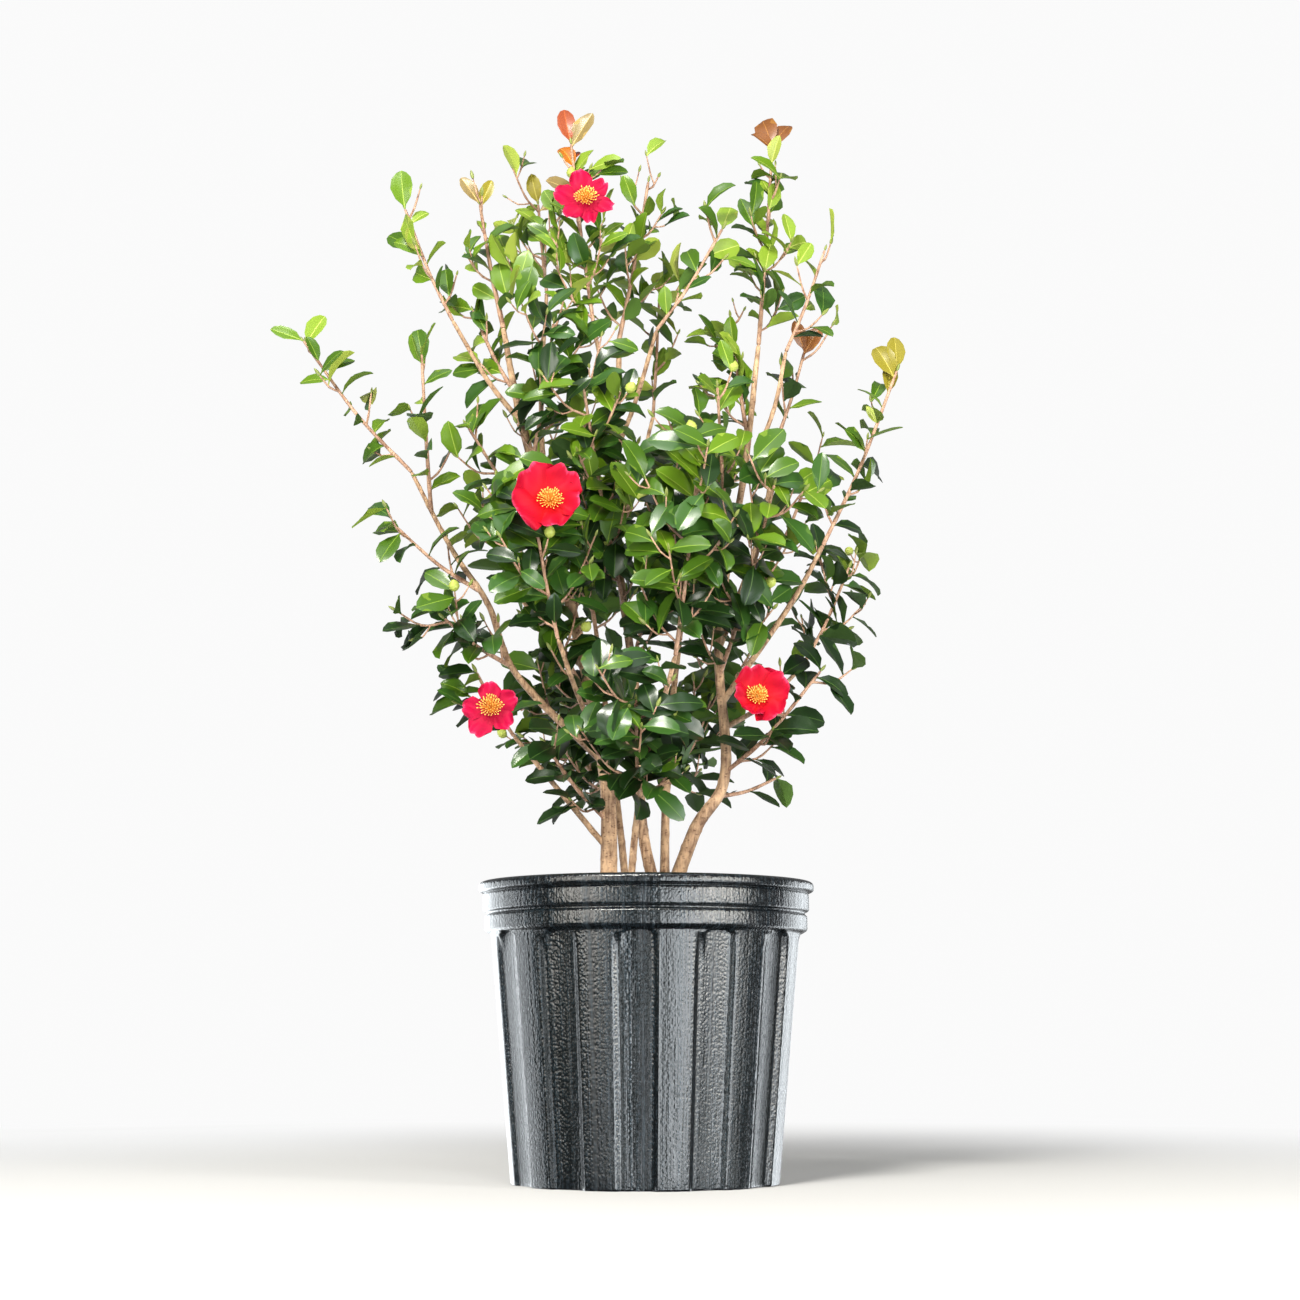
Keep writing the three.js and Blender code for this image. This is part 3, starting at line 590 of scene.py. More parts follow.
# %% Twigs
TWIG_ANGLE = math.radians(50)
TWIG_RISE = 0.3
TWIG_PARTS = (1, 0.75, 0.5, 0.35)
SHORTEST_TWIG = 13
TWIG_TAPER = 0.9


def grow_twigs(curve, length, pitch, reach, seed, mass, taper=TWIG_TAPER):
    """Twigs that leave a shoot a golden angle apart and turn up, shortened until they have room.
    Their reach falls evenly to the taper's share at the shoot's tip."""
    count = int(length / pitch)
    twigs = []
    for i in range(count):
        share = (i + 0.65) / count
        direction = leaving(curve, share, TWIG_ANGLE, seed + i * GOLDEN_ANGLE)
        start = curve(share)
        full = reach * between(0.8, 1.1, chance(seed, 10 + i)) * between(1, taper, share)
        for part in TWIG_PARTS:
            end = start + direction * full * part + UP * full * part * TWIG_RISE
            middle = start + (direction - UP * 0.05) * full * part * 0.5
            twig = curve_through([start, middle, end])
            spots = twig([0.35, 0.6, 0.8, 1.0])
            if full * part >= SHORTEST_TWIG and clear_of_blooms(spots) and has_room(spots, mass):
                twigs.append(dict(curve=twig, length=length_of(twig)))
                break
    return twigs


# %% How full each mass is
FULLNESS = {
    "far_left": 0.45, "left_sprig": 0.45, "left_shoot": 0.6, "left_tall": 0.75, "left_upper": 0.85,
    "top": 1.1, "centre_tall": 0.8, "centre_arch": 0.5, "right_tall": 0.85, "right_pair": 0.55,
    "right_crown": 0.8, "right_upper": 0.65, "far_right": 0.6, "right_bulge": 0.75,
    "right_inner": 0.6, "left_arch": 0.7, "left_middle_upper": 0.65, "left_middle": 0.5,
    "right_foot": 0.25, "left_foot": 0.65, "right_low": 0.65, "left_lower": 1.2,
    "left_low": 0.85, "left_inner": 1.3,
    "front_low": 1.3, "front_left": 1.2, "front": 1.0, "front_right": 0.85, "back_top": 0.7,
    "back_right": 0.5, "back_far_left": 0.6,
}
TIP_CLEAR = 30
TIP_TAPER = {"top": 0.15, "right_tall": 0.4, "far_right": 0.5, "left_tall": 0.5, "centre_tall": 0.6}
BARE_ENDS = {"centre_tall": 26, "right_pair": 20, "right_crown": 12}
print("masses with a fullness of their own", len(FULLNESS))

# %% Growing every mass
TWIG_PITCH = 17
TWIGLET_PITCH = 19
TWIGLET_REACH = 22
DENSE = 0.7

leaves = []
shoots = []
for mass, (name, row) in enumerate(MASSES.items()):
    seed = SEED + mass
    own = []
    full = FULLNESS.get(name, 1.0)
    reach = (row["spread"] - LEAF_LENGTH * math.sin(LEAF_ANGLE) * 0.7) / math.sin(TWIG_ANGLE)
    reach *= between(0.5, 1, full)
    twigs = grow_twigs(row["curve"], row["length"], TWIG_PITCH / full, reach, seed, mass,
                       TIP_TAPER.get(name, TWIG_TAPER))
    grow_shoot_leaves(row["curve"], row["length"], seed, 0.1, mass, own, between(0.4, 1, full))
    for i, twig in enumerate(twigs):
        twig["radius"] = (1.15, 0.75)
        grow_shoot_leaves(twig["curve"], twig["length"], seed + 0.37 * (i + 1), 0.25, mass, own,
                          between(0.4, 1, full))
    twiglets = []
    for i, twig in enumerate(twigs if full > DENSE else []):
        for twiglet in grow_twigs(twig["curve"], twig["length"], TWIGLET_PITCH, TWIGLET_REACH,
                                  seed + 0.53 * (i + 1), mass):
            twiglet["radius"] = (0.8, 0.6)
            grow_shoot_leaves(twiglet["curve"], twiglet["length"], seed + 0.71 * (i + 1), 0.3,
                              mass, own)
            twiglets.append(twiglet)
    tip = np.array(row["tip"], float)
    clear = TIP_CLEAR if name in TIP_LEAVES else BARE_ENDS.get(name, 0)
    shoots += twigs + twiglets
    leaves += [leaf for leaf in own if np.linalg.norm(leaf["root"] - tip) >= clear]
    leaves += [tip_leaf(row, *given, mass, number)
               for number, given in enumerate(TIP_LEAVES.get(name, []))]
print("twigs", len(shoots), "leaves", len(leaves))

# %% [markdown]
# ## Tubes of wood
#
# Stems, boughs and twigs are rings laid square to a curve. Bark is smooth on a young camellia: a
# tan skin with fine lengthwise cracks, and a low collar wherever a leaf once stood. The relief is
# in the mesh on stems and boughs, where it can be seen, and only in the girth of a twig.

# %% The tube


def turns(count):
    """Even angles round a full circle, in radians."""
    return np.arange(count) / count * 2 * math.pi


def stacked(*parts):
    """Arrays brought to one shape and set side by side as a last axis."""
    return np.stack(np.broadcast_arrays(*parts), axis=-1)


def ring_faces(rows, sides):
    """Four-sided faces between rows of closed rings, and a many-sided face on each end."""
    i = np.arange(rows - 1)[:, None] * sides
    j = np.arange(sides)
    k = (j + 1) % sides
    quads = stacked(i + j, i + k, i + sides + k, i + sides + j).reshape(-1, 4)
    ends = np.stack([j[::-1], (rows - 1) * sides + j])
    return [quads, ends]


def tube(curve, shares, radii, sides):
    """Rings of the given radii (one for each share, or one for each share and side) at shares
    along a curve: the point, plus cosine and sine of the side's angle times the radius."""
    points = curve(shares)
    along = heading(curve, shares)
    side = unit(np.cross(square_axis(curve), along))
    across = np.cross(along, side)
    angle = turns(sides)
    radii = np.asarray(radii, float)
    radii = radii[:, None] if radii.ndim == 1 else radii
    out = side[:, None] * np.cos(angle)[:, None] + across[:, None] * np.sin(angle)[:, None]
    ring = points[:, None] + out * (radii * np.ones(sides))[..., None]
    return ring.reshape(-1, 3), ring_faces(len(shares), sides)


# %% Worn ends and the relief of bark


def rounded_ends(shares, radii, length, blunt):
    """Adds three small rings beyond the last share so that a cut end looks worn round. blunt is
    how far they reach, in millimetres."""
    extra = np.array([0.5, 0.85, 1.0]) * blunt / length
    shrink = np.array([0.87, 0.53, 0.12])
    return (np.append(shares[:-1], 1 - extra[::-1]),
            np.append(radii[:-1], radii[-1] * shrink))


def bark_tube(row, sides, pitch, seed):
    """A limb whose radius swells at old leaf collars every few centimetres and is cracked
    lengthwise: soft noise stretched along the limb, deepest near the ground."""
    rows = int(row["length"] / pitch)
    shares = np.linspace(0, 1, rows)
    radii = limb_radius(row, shares)
    run = shares * row["length"]
    angle = turns(sides)
    collars = np.arange(14, row["length"], 23)
    collars = collars + 9 * (chance(seed, np.arange(len(collars))) - 0.5)
    turn = seed + np.arange(len(collars)) * GOLDEN_ANGLE
    bulge = np.exp(-((run[:, None] - collars) / 2.2) ** 2)
    facing = 0.45 + 0.55 * np.cos(angle[:, None] - turn)
    collar = np.einsum("rc,ac->ra", bulge, facing) * (0.3 + 0.05 * radii[:, None])
    place = stacked(radii[:, None] * np.cos(angle), radii[:, None] * np.sin(angle), run[:, None])
    crack = (soft_noise(place, (1.4, 1.4, 17), seed) * 0.09
             + soft_noise(place, (3.2, 3.2, 40), seed) * 0.12)
    lump = soft_noise(place, (9, 9, 26), seed + 3) * 0.05
    full = radii[:, None] * (1 + lump) + collar + crack * np.minimum(1, radii[:, None] / 4) * 1.6
    full[-1] *= 0.55
    return tube(row["curve"], shares, full, sides)


# %% Bark


def bark_material(name, pale, dark, roughness, crack_mm):
    """Living bark, a grown skin split lengthwise: two tones in streaks and patches along the
    stem, with dark breathing pores. It gives the eye a dry, matte tan wood."""
    material, shader = new_material(name, pale, roughness)
    place = add_node(material, "ShaderNodeTexCoord")
    along = add_node(material, "ShaderNodeMapping", Vector=place.outputs["Object"],
                     Scale=(1.0, 1.0, 0.15))
    streak = add_node(material, "ShaderNodeTexNoise", Vector=along.outputs["Vector"],
                      Scale=1 / (crack_mm * MM), Detail=6.0, Roughness=0.6)
    patch = add_node(material, "ShaderNodeTexNoise", Vector=place.outputs["Object"],
                     Scale=1 / (11 * MM), Detail=4.0, Roughness=0.6)
    both = add_node(material, "ShaderNodeMath", dict(operation="ADD"), _0=streak.outputs["Fac"],
                    _1=patch.outputs["Fac"])
    flat = add_node(material, "ShaderNodeMapping", Vector=place.outputs["Object"],
                    Scale=(1.0, 1.0, 1.8))
    pores = add_node(material, "ShaderNodeTexVoronoi", Vector=flat.outputs["Vector"],
                     Scale=1 / (4.5 * MM))
    pale_share = add_node(material, "ShaderNodeMapRange", Value=pores.outputs["Distance"],
                          From_Min=0.1, From_Max=0.32, To_Min=0.76, To_Max=1.0)
    tone = add_node(material, "ShaderNodeMath", dict(operation="MULTIPLY"), _0=both.outputs[0],
                    _1=pale_share.outputs["Result"])
    scaled = add_node(material, "ShaderNodeMath", dict(operation="MULTIPLY"), _0=tone.outputs[0],
                      _1=0.83)
    ramp = add_node(material, "ShaderNodeValToRGB", stops=[(0.62, dark), (1.0, pale)],
                    Fac=scaled.outputs[0])
    bump = add_node(material, "ShaderNodeBump", Height=tone.outputs[0], Strength=0.6,
                    Distance=0.5 * MM)
    feed(material, shader, Base_Color=ramp.outputs["Color"], Normal=bump.outputs["Normal"])
    return material


old_bark = bark_material("stem_bark_grown_tan", "#cfac88", "#6e4f39", 0.68, 2.2)
young_bark = bark_material("shoot_bark_grown_pinkish_tan", "#cba488", "#785440", 0.58, 1.4)

# %% Stems and boughs
stem_parts = [bark_tube(row, 34, 2.4, i) for i, row in enumerate(LIMBS.values()) if "foot" in row]
bough_parts = [bark_tube(row, 18, 2.2, i) for i, row in enumerate(LIMBS.values()) if "on" in row]
stems = add_piece("stems", join(stem_parts), [old_bark])
boughs = add_piece("boughs", join(bough_parts), [old_bark])
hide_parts(*[name for name, row in LIMBS.items() if "foot" in row])
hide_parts(*[name for name, row in LIMBS.items() if "on" in row])

# %% Stems of the masses, and twigs
wood_parts = []
for i, row in enumerate(MASSES.values()):
    shares = np.linspace(0, 1, int(row["length"] / 5))
    radii = between(row["root_radius"], 1.2, shares)
    knots = 1 + 0.14 * soft_noise(np.stack([shares * row["length"]] * 3, axis=-1), 7, i)
    wood_parts.append(tube(row["curve"],
                           *rounded_ends(shares, radii * knots, row["length"], 1.5), 10))
twig_parts = []
for i, shoot in enumerate(shoots):
    shares = np.linspace(0, 1, max(5, int(shoot["length"] / 5)))
    radii = between(*shoot["radius"], shares) * (1 + 0.12 * np.cos(shares * shoot["length"] / 1.9))
    twig_parts.append(tube(shoot["curve"], *rounded_ends(shares, radii, shoot["length"], 1.0), 6))
branchlets = add_piece("branchlets", join(wood_parts), [young_bark])
add_piece("twigs", join(twig_parts), [young_bark])
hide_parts(*[f"mass_{name}" for name in MASSES])

# %% [markdown]
# ## Leaves
#
# A camellia leaf is a leathery oval with a short stalk, a pale midrib and a shiny waxed face. It
# folds a little along its midrib and bends back to its tip. One leaf is a grid of rows along it
# and columns across it, with an underside, so that it is a closed thin solid of its own outline.
# All leaves are worked out at once. Colour is dealt out by place: deep green inside and below,
# bright green above and outside, and a bronze or orange flush on the newest tips. The flush is
# the leaves' own, and young leaves are paler than old ones. The rest of the dark inside and below
# is painted shade, and the rest of the bright above and outside is painted light.

# %% The leaf's shape
LEAF_ROWS = np.array([0, 0.1, 0.27, 0.52, 0.76, 0.93, 1.0])
COLUMNS = np.array([-1, -0.55, 0, 0, 0.55, 1, 0, 0])
RIB_SIDE = np.array([0, 0, -1, 1, 0, 0, -1, 1])
SKIN = np.array([0, 0.22, 0.2, 0.2, 0.22, 0, -0.55, -0.55])
RING = np.array([0, 1, 2, 3, 4, 5, 7, 6])
STALK = 0.08


def blade_width(along):
    """Half width as a share of the widest: a root of a sine, bent so that the leaf is widest
    past its middle and ends in a short blunt point."""
    blade = np.clip((along - STALK) / (1 - STALK), 0, 1)
    return np.sin(math.pi * blade ** 1.1) ** 0.6


def leaf_points(root, along, face, length, width, bend, fold, twist, wave):
    """Points of many leaves, in leaves, rows and columns. The midrib is an arc that turns through
    bend. Across it, a blade rises by its fold, eases at its edge, ripples, and turns by twist."""
    t = LEAF_ROWS[None, :, None]
    bend, fold, twist, wave = (value[:, None, None] for value in (bend, fold, twist, wave))
    length, width = length[:, None, None], width[:, None, None]
    half = np.maximum(blade_width(t) * width, between(0.75, 0.25, t))
    rib = np.minimum(between(0.5, 0.2, t), half * 0.6)
    side = COLUMNS * half + RIB_SIDE * rib
    share = np.abs(side) / np.maximum(half, 1e-6)
    rise = np.abs(side) * np.tan(fold) * (1 - 0.35 * share)
    rise = rise + wave * share ** 2 * np.sin(9 * t + twist * 20) * half / 12
    rise = rise + SKIN * np.where(t < STALK + 0.02, 1.6, 1.0)
    turn = twist * t
    flat = side * np.cos(turn) - rise * np.sin(turn)
    lift = side * np.sin(turn) + rise * np.cos(turn)
    arc = bend * t
    ahead = length * np.sin(arc) / bend + lift * np.sin(arc)
    above = -length * (1 - np.cos(arc)) / bend + lift * np.cos(arc)
    ahead, above = ahead + 0 * flat, above + 0 * flat
    across = np.cross(face, along)
    axes = [vectors[:, None, None, :] for vectors in (along, across, face)]
    local = (ahead[..., None], flat[..., None], above[..., None])
    return root[:, None, None] + sum(axis * value for axis, value in zip(axes, local))


def leaf_faces(count):
    """Faces of one leaf, repeated: strips between the rows round the ring of columns, and an end
    face at stalk and tip. Also which material each has: 0 blade, 1 midrib, 2 underside."""
    rows, width = len(LEAF_ROWS), len(COLUMNS)
    i = np.arange(rows - 1)[:, None] * width
    j, k = RING, np.roll(RING, -1)
    quads = stacked(i + j, i + width + j, i + width + k, i + k).reshape(-1, 4)
    ends = np.stack([RING, (rows - 1) * width + RING[::-1]])
    first = np.arange(count)[:, None, None] * rows * width
    kinds = np.tile([0, 0, 1, 0, 0, 2, 2, 2], rows - 1)
    which = np.concatenate([np.tile(kinds, count), np.tile([1, 1], count)])
    return [(first + quads).reshape(-1, 4), (first + ends).reshape(-1, width)], which


# %% Waxed leaf faces
LEAF_TONES = {
    "deep_green": ("#183110", "#45632c", "#385426", 0.5),
    "dark_green": ("#2f541a", "#58792f", "#4c6c2a", 0.4),
    "mid_green": ("#3e6012", "#72902c", "#637f26", 0.28),
    "bright_green": ("#5a7c14", "#93aa42", "#809a34", 0.18),
    "light_green": ("#7c982e", "#afbe5c", "#9bac46", 0.12),
    "lime_green": ("#98a648", "#c2ca6c", "#b2bb5a", 0.1),
    "olive_gold": ("#837a22", "#aca14a", "#978c36", 0.14),
    "tan": ("#847246", "#b8a064", "#a58c54", 0.12),
    "bronze": ("#7a4a20", "#a47038", "#90622c", 0.12),
    "amber": ("#a8600e", "#c88c38", "#b87c2c", 0.14),
    "orange": ("#8c3a06", "#b45a26", "#a05022", 0.14),
}


def leaf_materials(tone):
    """A living leaf, grown and waxed. The blade is plain green under a clear cuticle, thicker on
    old dark leaves, which gives the eye pale highlights. The midrib is paler and the underside
    is matte."""
    blade, rib, under, wax = LEAF_TONES[tone]
    return [
        new_material(f"leaf_face_waxed_{tone}", blade, 0.38, Specular_IOR_Level=0.38,
                     Coat_Weight=wax, Coat_Roughness=0.2)[0],
        new_material(f"leaf_midrib_{tone}", rib, 0.5, Specular_IOR_Level=0.3)[0],
        new_material(f"leaf_underside_matte_{tone}", under, 0.7, Specular_IOR_Level=0.2)[0],
    ]


# %% Dealing out colours
def column(key):
    """One value of every leaf as an array."""
    return np.array([leaf[key] for leaf in leaves])


CROWN_REACH, CROWN_FOOT, CROWN_HEIGHT = (230, 300), 260, 640
SPRAY_SIZE = 70
TONE_STEPS = [0.38, 0.57, 0.78, 1.0, 1.2]

roots, alongs, facings = column("root"), column("along"), column("face")
seeds, sizes, youth = column("seed"), column("size"), column("young")
outward = np.linalg.norm((roots - CROWN_AXIS)[:, :2] / CROWN_REACH, axis=1)
height = (roots[:, 2] - CROWN_FOOT) / CROWN_HEIGHT
spray = soft_noise(roots, SPRAY_SIZE, 4.0)
# Height and outwardness deal lighter tones high and outside and darker ones inside and low: partly
# the leaves' own tones and partly painted light and shade. The chance spread, wider at the top,
# deals dark tones among lit leaves as painted shade. Youth and spray are the leaves' own.
light = (0.72 * height + 0.22 * outward + 0.2 * youth + 0.14 * spray
         + (0.45 + 0.35 * height) * (chance(seeds, 91) - 0.5))
tone_names = list(LEAF_TONES)
tones = np.digitize(light, TONE_STEPS)
print("tone shares", np.bincount(tones, minlength=len(tone_names)) / len(leaves))
for number, leaf in enumerate(leaves):
    if "tone" in leaf:
        tones[number] = tone_names.index(leaf["tone"])

# %% Building the leaves
lengths = LEAF_LENGTH * sizes
widths = lengths * between(0.21, 0.3, chance(seeds, 92))
bends = between(0.15, 1.1, chance(seeds, 93) ** 1.5)
folds = np.radians(between(10, 42, chance(seeds, 94)))
twists = between(-0.3, 0.3, chance(seeds, 95))
waves = between(0.3, 2.2, chance(seeds, 96))
for number, tone in enumerate(tone_names):
    picked = tones == number
    if picked.any():
        chosen = (values[picked] for values in (roots, alongs, facings, lengths, widths, bends,
                                                folds, twists, waves))
        points = leaf_points(*chosen).reshape(-1, 3)
        faces, which = leaf_faces(int(picked.sum()))
        add_piece(f"leaves_{tone}", (points, faces), leaf_materials(tone), which,
                  crease=70)
        print(tone, int(picked.sum()), "leaves")

# %% [markdown]
# ## Flowers
#
# Four flowers face the front. Each has one round of broad petals with a notch in the rim, and a
# full boss of yellow stamens. Two are flat and crimson-pink with gaps between the petals, two are
# red, cupped and wavy. A petal is a closed thin sheet: width, cup and ripple are functions of the
# way out along it and the way across it.

# %% Petals
PETAL_STEPS = (15, 13)
HEART_DEPTH = 3.0


def upright_frame(facing):
    """Level and upward directions square to the one that a flower faces."""
    across = unit(np.cross(facing, UP))
    return across, np.cross(across, facing)


def petal(centre, facing, turn, reach, width, cup, ripple, seed):
    """A petal with both its skins. Out along it the half width grows as a root of the distance
    and draws in at the rim, which has a notch at its middle. Its height is a cup, plus ripples
    that grow towards the rim."""
    rows, columns = PETAL_STEPS
    u = np.linspace(0.06, 1, rows)[:, None]
    s = np.linspace(-1, 1, columns)[None, :]
    notch = 0.07 * np.exp(-(s / 0.2) ** 2) + 0.45 * (1 - np.sqrt(1 - 0.8 * s ** 2))
    out = reach * u * (1 - notch * smooth((u - 0.45) / 0.55))
    half = width * np.sin(2.3 * u ** 1.15) ** 0.75
    sideways = s * half
    rise = cup * (out / reach) ** 1.6 * reach + 0.12 * width * s ** 2 * u
    rise = (rise + ripple * u ** 2 * np.sin(5.5 * s + seed)
            + 0.5 * ripple * u * np.sin(9 * u + 4 * s + seed))
    across, upward = upright_frame(facing)
    ahead = across * math.cos(turn) + upward * math.sin(turn)
    beside = np.cross(facing, ahead)
    sheets = []
    for side in (0.35, -0.35):
        height = rise + side * (1 - np.abs(s) ** 6) * (1 - u ** 8)
        sheets.append(centre + ahead * out[..., None] + beside * sideways[..., None]
                      + facing * height[..., None])
    top, bottom = sheets
    i = np.arange(rows - 1)[:, None] * columns
    j = np.arange(columns - 1)
    quads = stacked(i + j, i + columns + j, i + columns + j + 1, i + j + 1).reshape(-1, 4)
    count = rows * columns
    edge = np.concatenate([np.arange(columns), np.arange(1, rows) * columns + columns - 1,
                           count - 1 - np.arange(1, columns),
                           (rows - 2 - np.arange(rows - 2)) * columns])
    after = np.roll(edge, -1)
    rim = stacked(edge, after, after + count, edge + count)
    points = np.concatenate([top.reshape(-1, 3), bottom.reshape(-1, 3)])
    uv = stacked(s * 0.5 + 0.5, u).reshape(-1, 2)
    return (points, [np.concatenate([quads, (quads + count)[:, ::-1], rim])]), np.tile(uv, (2, 1))


# %% The petals' velvet
PAINTED_RIM_HIGHLIGHT = "#dc4c76"
VEINS_ACROSS = 26.0


def petal_material(name, rim, heart):
    """Living petals, thin and softly waxed, with faint veins that run outwards. The colour is
    deepest near the heart, as painted shade of the cup, and pale at the very edge, as a painted
    highlight on the rim. They give the eye a velvety, saturated red."""
    material, shader = new_material(name, rim, 0.6, Specular_IOR_Level=0.15)
    place = add_node(material, "ShaderNodeUVMap", dict(uv_map="surface"))
    veins = add_node(material, "ShaderNodeMapping", Vector=place.outputs["UV"],
                     Scale=(VEINS_ACROSS, 1.5, 1.0))
    lines = add_node(material, "ShaderNodeTexNoise", Vector=veins.outputs["Vector"], Scale=1.0,
                     Detail=3.0)
    apart = add_node(material, "ShaderNodeSeparateXYZ", Vector=place.outputs["UV"])
    depth = add_node(material, "ShaderNodeMath", dict(operation="MULTIPLY_ADD"),
                     _0=lines.outputs["Fac"], _1=0.2, _2=apart.outputs["Y"])
    depth = add_node(material, "ShaderNodeMath", dict(operation="MULTIPLY"),
                     _0=depth.outputs[0], _1=0.88)
    # Painted shade and highlight: the heart's colour stands for the cup's shade, and the last stop
    # is a pale highlight painted at the rim.
    ramp = add_node(material, "ShaderNodeValToRGB", Fac=depth.outputs[0],
                    stops=[(0.25, heart), (0.9, rim), (1.0, PAINTED_RIM_HIGHLIGHT)])
    bump = add_node(material, "ShaderNodeBump", Height=lines.outputs["Fac"], Strength=0.25,
                    Distance=0.5 * MM)
    feed(material, shader, Base_Color=ramp.outputs["Color"], Normal=bump.outputs["Normal"])
    return material


crimson = petal_material("petal_living_crimson_pink", "#b80840", "#98042a")
red = petal_material("petal_living_red", "#b40a30", "#b20408")

# %% Where the flowers stand
FLOWERS = [
    dict(name="flower_top", at="top", petals=6, reach=27.5, width=9.4, cup=0.14, ripple=2.4,
         turn=0.4, facing=(0.05, -1, 0.2), material=crimson, lean=(0.3, 0.1)),
    dict(name="flower_left", at="front_left", petals=5, reach=28, width=18, cup=0.5, ripple=4.4,
         turn=0.75, facing=(0.12, -1, 0.2), material=red, lean=(0.6, 0.16)),
    dict(name="flower_low_left", at="left_low", petals=5, reach=26.5, width=10.8, cup=0.12,
         ripple=2.4, turn=0.2, facing=(-0.05, -1, 0.12), material=crimson, lean=(5.2, 0.08)),
    dict(name="flower_low_right", at="right_low", petals=5, reach=24, width=15, cup=0.45,
         ripple=4.0, turn=0.1, facing=(0.1, -1, 0.2), material=red, lean=(2.4, 0.14)),
]

for number, flower in enumerate(FLOWERS):
    centre = np.array(MASSES[flower["at"]]["bloom"], float)
    facing = unit(np.array(flower["facing"], float))
    flower["centre"], flower["facing"] = centre, facing
    parts, places = [], []
    for k in range(flower["petals"]):
        turn = (flower["turn"]
                + 2 * math.pi * (k + 0.3 * (chance(number, k) - 0.5)) / flower["petals"])
        lean_turn, lean = flower["lean"]
        size = between(0.84, 1.08, chance(number + 5, k)) * (1 + lean * math.cos(turn - lean_turn))
        base = centre + facing * (0.5 * (k % 2) - HEART_DEPTH)
        cup = flower["cup"] * between(0.8, 1.3, chance(number + 8, k))
        part, uv = petal(base, facing, turn, flower["reach"] * size, flower["width"] * size, cup,
                         flower["ripple"], number * 3 + k * 2.1)
        parts.append(part)
        places.append(uv)
    add_piece(flower["name"], join(parts), [flower["material"]], crease=60,
              uv=np.concatenate(places))

# %% [markdown]
# ## Stamens, buds and stalks
#
# The boss of a camellia flower is some eighty fine filaments out of a fused ring, each with a
# yellow anther at its end. Round flower buds of overlapping green scales wait at the shoot tips,
# and every twig ends in a small pointed leaf bud.

# %% Stamens
STAMENS = 84
FILAMENT_LENGTH = (8.5, 12.0)
# Living filaments are silky and give the eye a soft orange. Anthers are dry with pollen, which
# makes them matte and pale.
filament = new_material("stamen_filament_orange_yellow", "#e69a36", 0.55)[0]
anther = new_material("stamen_anther_pale_yellow", "#eccb66", 0.7)[0]


def spindle(base, direction, length, radius, sides, profile):
    """A turned form: rings of profile times radius, evenly spaced along a straight line."""
    line = curve_through([base, base + direction * length])
    return tube(line, np.linspace(0, 1, len(profile)), np.array(profile) * radius, sides)


filament_parts, anther_parts = [], []
for number, flower in enumerate(FLOWERS):
    axis = unit(flower["facing"] + UP * 0.3)
    across, upward = upright_frame(axis)
    base = flower["centre"] - flower["facing"] * HEART_DEPTH
    filament_parts.append(spindle(base, axis, 3.4, 2.6, 12, (0.9, 1.0, 0.9, 0.5)))
    for k in range(STAMENS):
        spread = math.radians(between(4, 58, ((k + 0.5) / STAMENS) ** 0.6))
        turn = k * GOLDEN_ANGLE + number
        out = across * math.cos(turn) + upward * math.sin(turn)
        direction = unit(axis * math.cos(spread) + out * math.sin(spread))
        reach = between(*FILAMENT_LENGTH, chance(number + 40, k)) * flower["reach"] / 28
        end = base + out * 1.6 * math.sin(spread) + direction * reach
        middle = base + (direction * 0.6 + axis * 0.4) * reach * 0.5
        line = curve_through([base + out * 2.0 * math.sin(spread), middle, end])
        filament_parts.append(tube(line, np.linspace(0, 1, 4), [0.32, 0.28, 0.26, 0.24], 4))
        anther_parts.append(spindle(end - direction * 0.4, direction, 1.6, 0.56, 5,
                                    (0.4, 1.0, 0.85, 0.3)))
add_piece("stamen_filaments", join(filament_parts), [filament])
add_piece("stamen_anthers", join(anther_parts), [anther])

# %% Stalks and green cups of the flowers
CUP_DEPTH = 9
# Living sepals are smooth and faintly waxed, and give the eye a satin olive.
sepal = new_material("sepal_living_olive_green", "#7d9a45", 0.5)[0]
stalk_parts, cup_parts = [], []
for flower in FLOWERS:
    spots = MASSES[flower["at"]]["curve"](SPINE_STEPS)
    nearest = spots[np.argmin(np.linalg.norm(spots - flower["centre"], axis=1))]
    back = flower["centre"] - flower["facing"] * CUP_DEPTH
    line = curve_through([nearest, (nearest + back) / 2 - UP * 3, back])
    stalk_parts.append(tube(line, np.linspace(0, 1, 9), np.linspace(1.5, 1.7, 9), 8))
    cup_parts.append(spindle(back - flower["facing"] * 0.5, flower["facing"], 5.4, 5.2, 14,
                             (0.3, 0.62, 0.85, 0.98, 1.0, 0.9)))
add_piece("flower_stalks", join(stalk_parts), [young_bark])
add_piece("flower_cups", join(cup_parts), [sepal])

# %% Round flower buds
BUD_SPOTS = [(4, 666), (42, 596), (4, 548), (-33, 443), (22, 366), (-72, 528), (-55, 852),
             (118, 610), (-150, 480), (96, 480), (-30, 590), (60, 700)]
BACK_OF_CROWN = 60
BUD_LIMIT = 0.93


def scaled_bud(base, direction, length, radius, rows=18, sides=24):
    """An egg of overlapping scales. Its radius is a sine of the way up, and a saw-tooth that
    winds round three times as it climbs makes the scales' raised edges."""
    line = curve_through([base, base + direction * length])
    t = np.linspace(0, 1, rows)[:, None]
    turn = np.arange(sides) / sides
    egg = np.sin(math.pi * np.clip(t, 0.03, 0.985) ** 0.85) ** 0.62
    wind = np.mod(3 * turn - 4.2 * t, 1)
    return tube(line, t[:, 0], radius * egg * (1 - 0.1 * smooth(wind * 1.15)), sides)


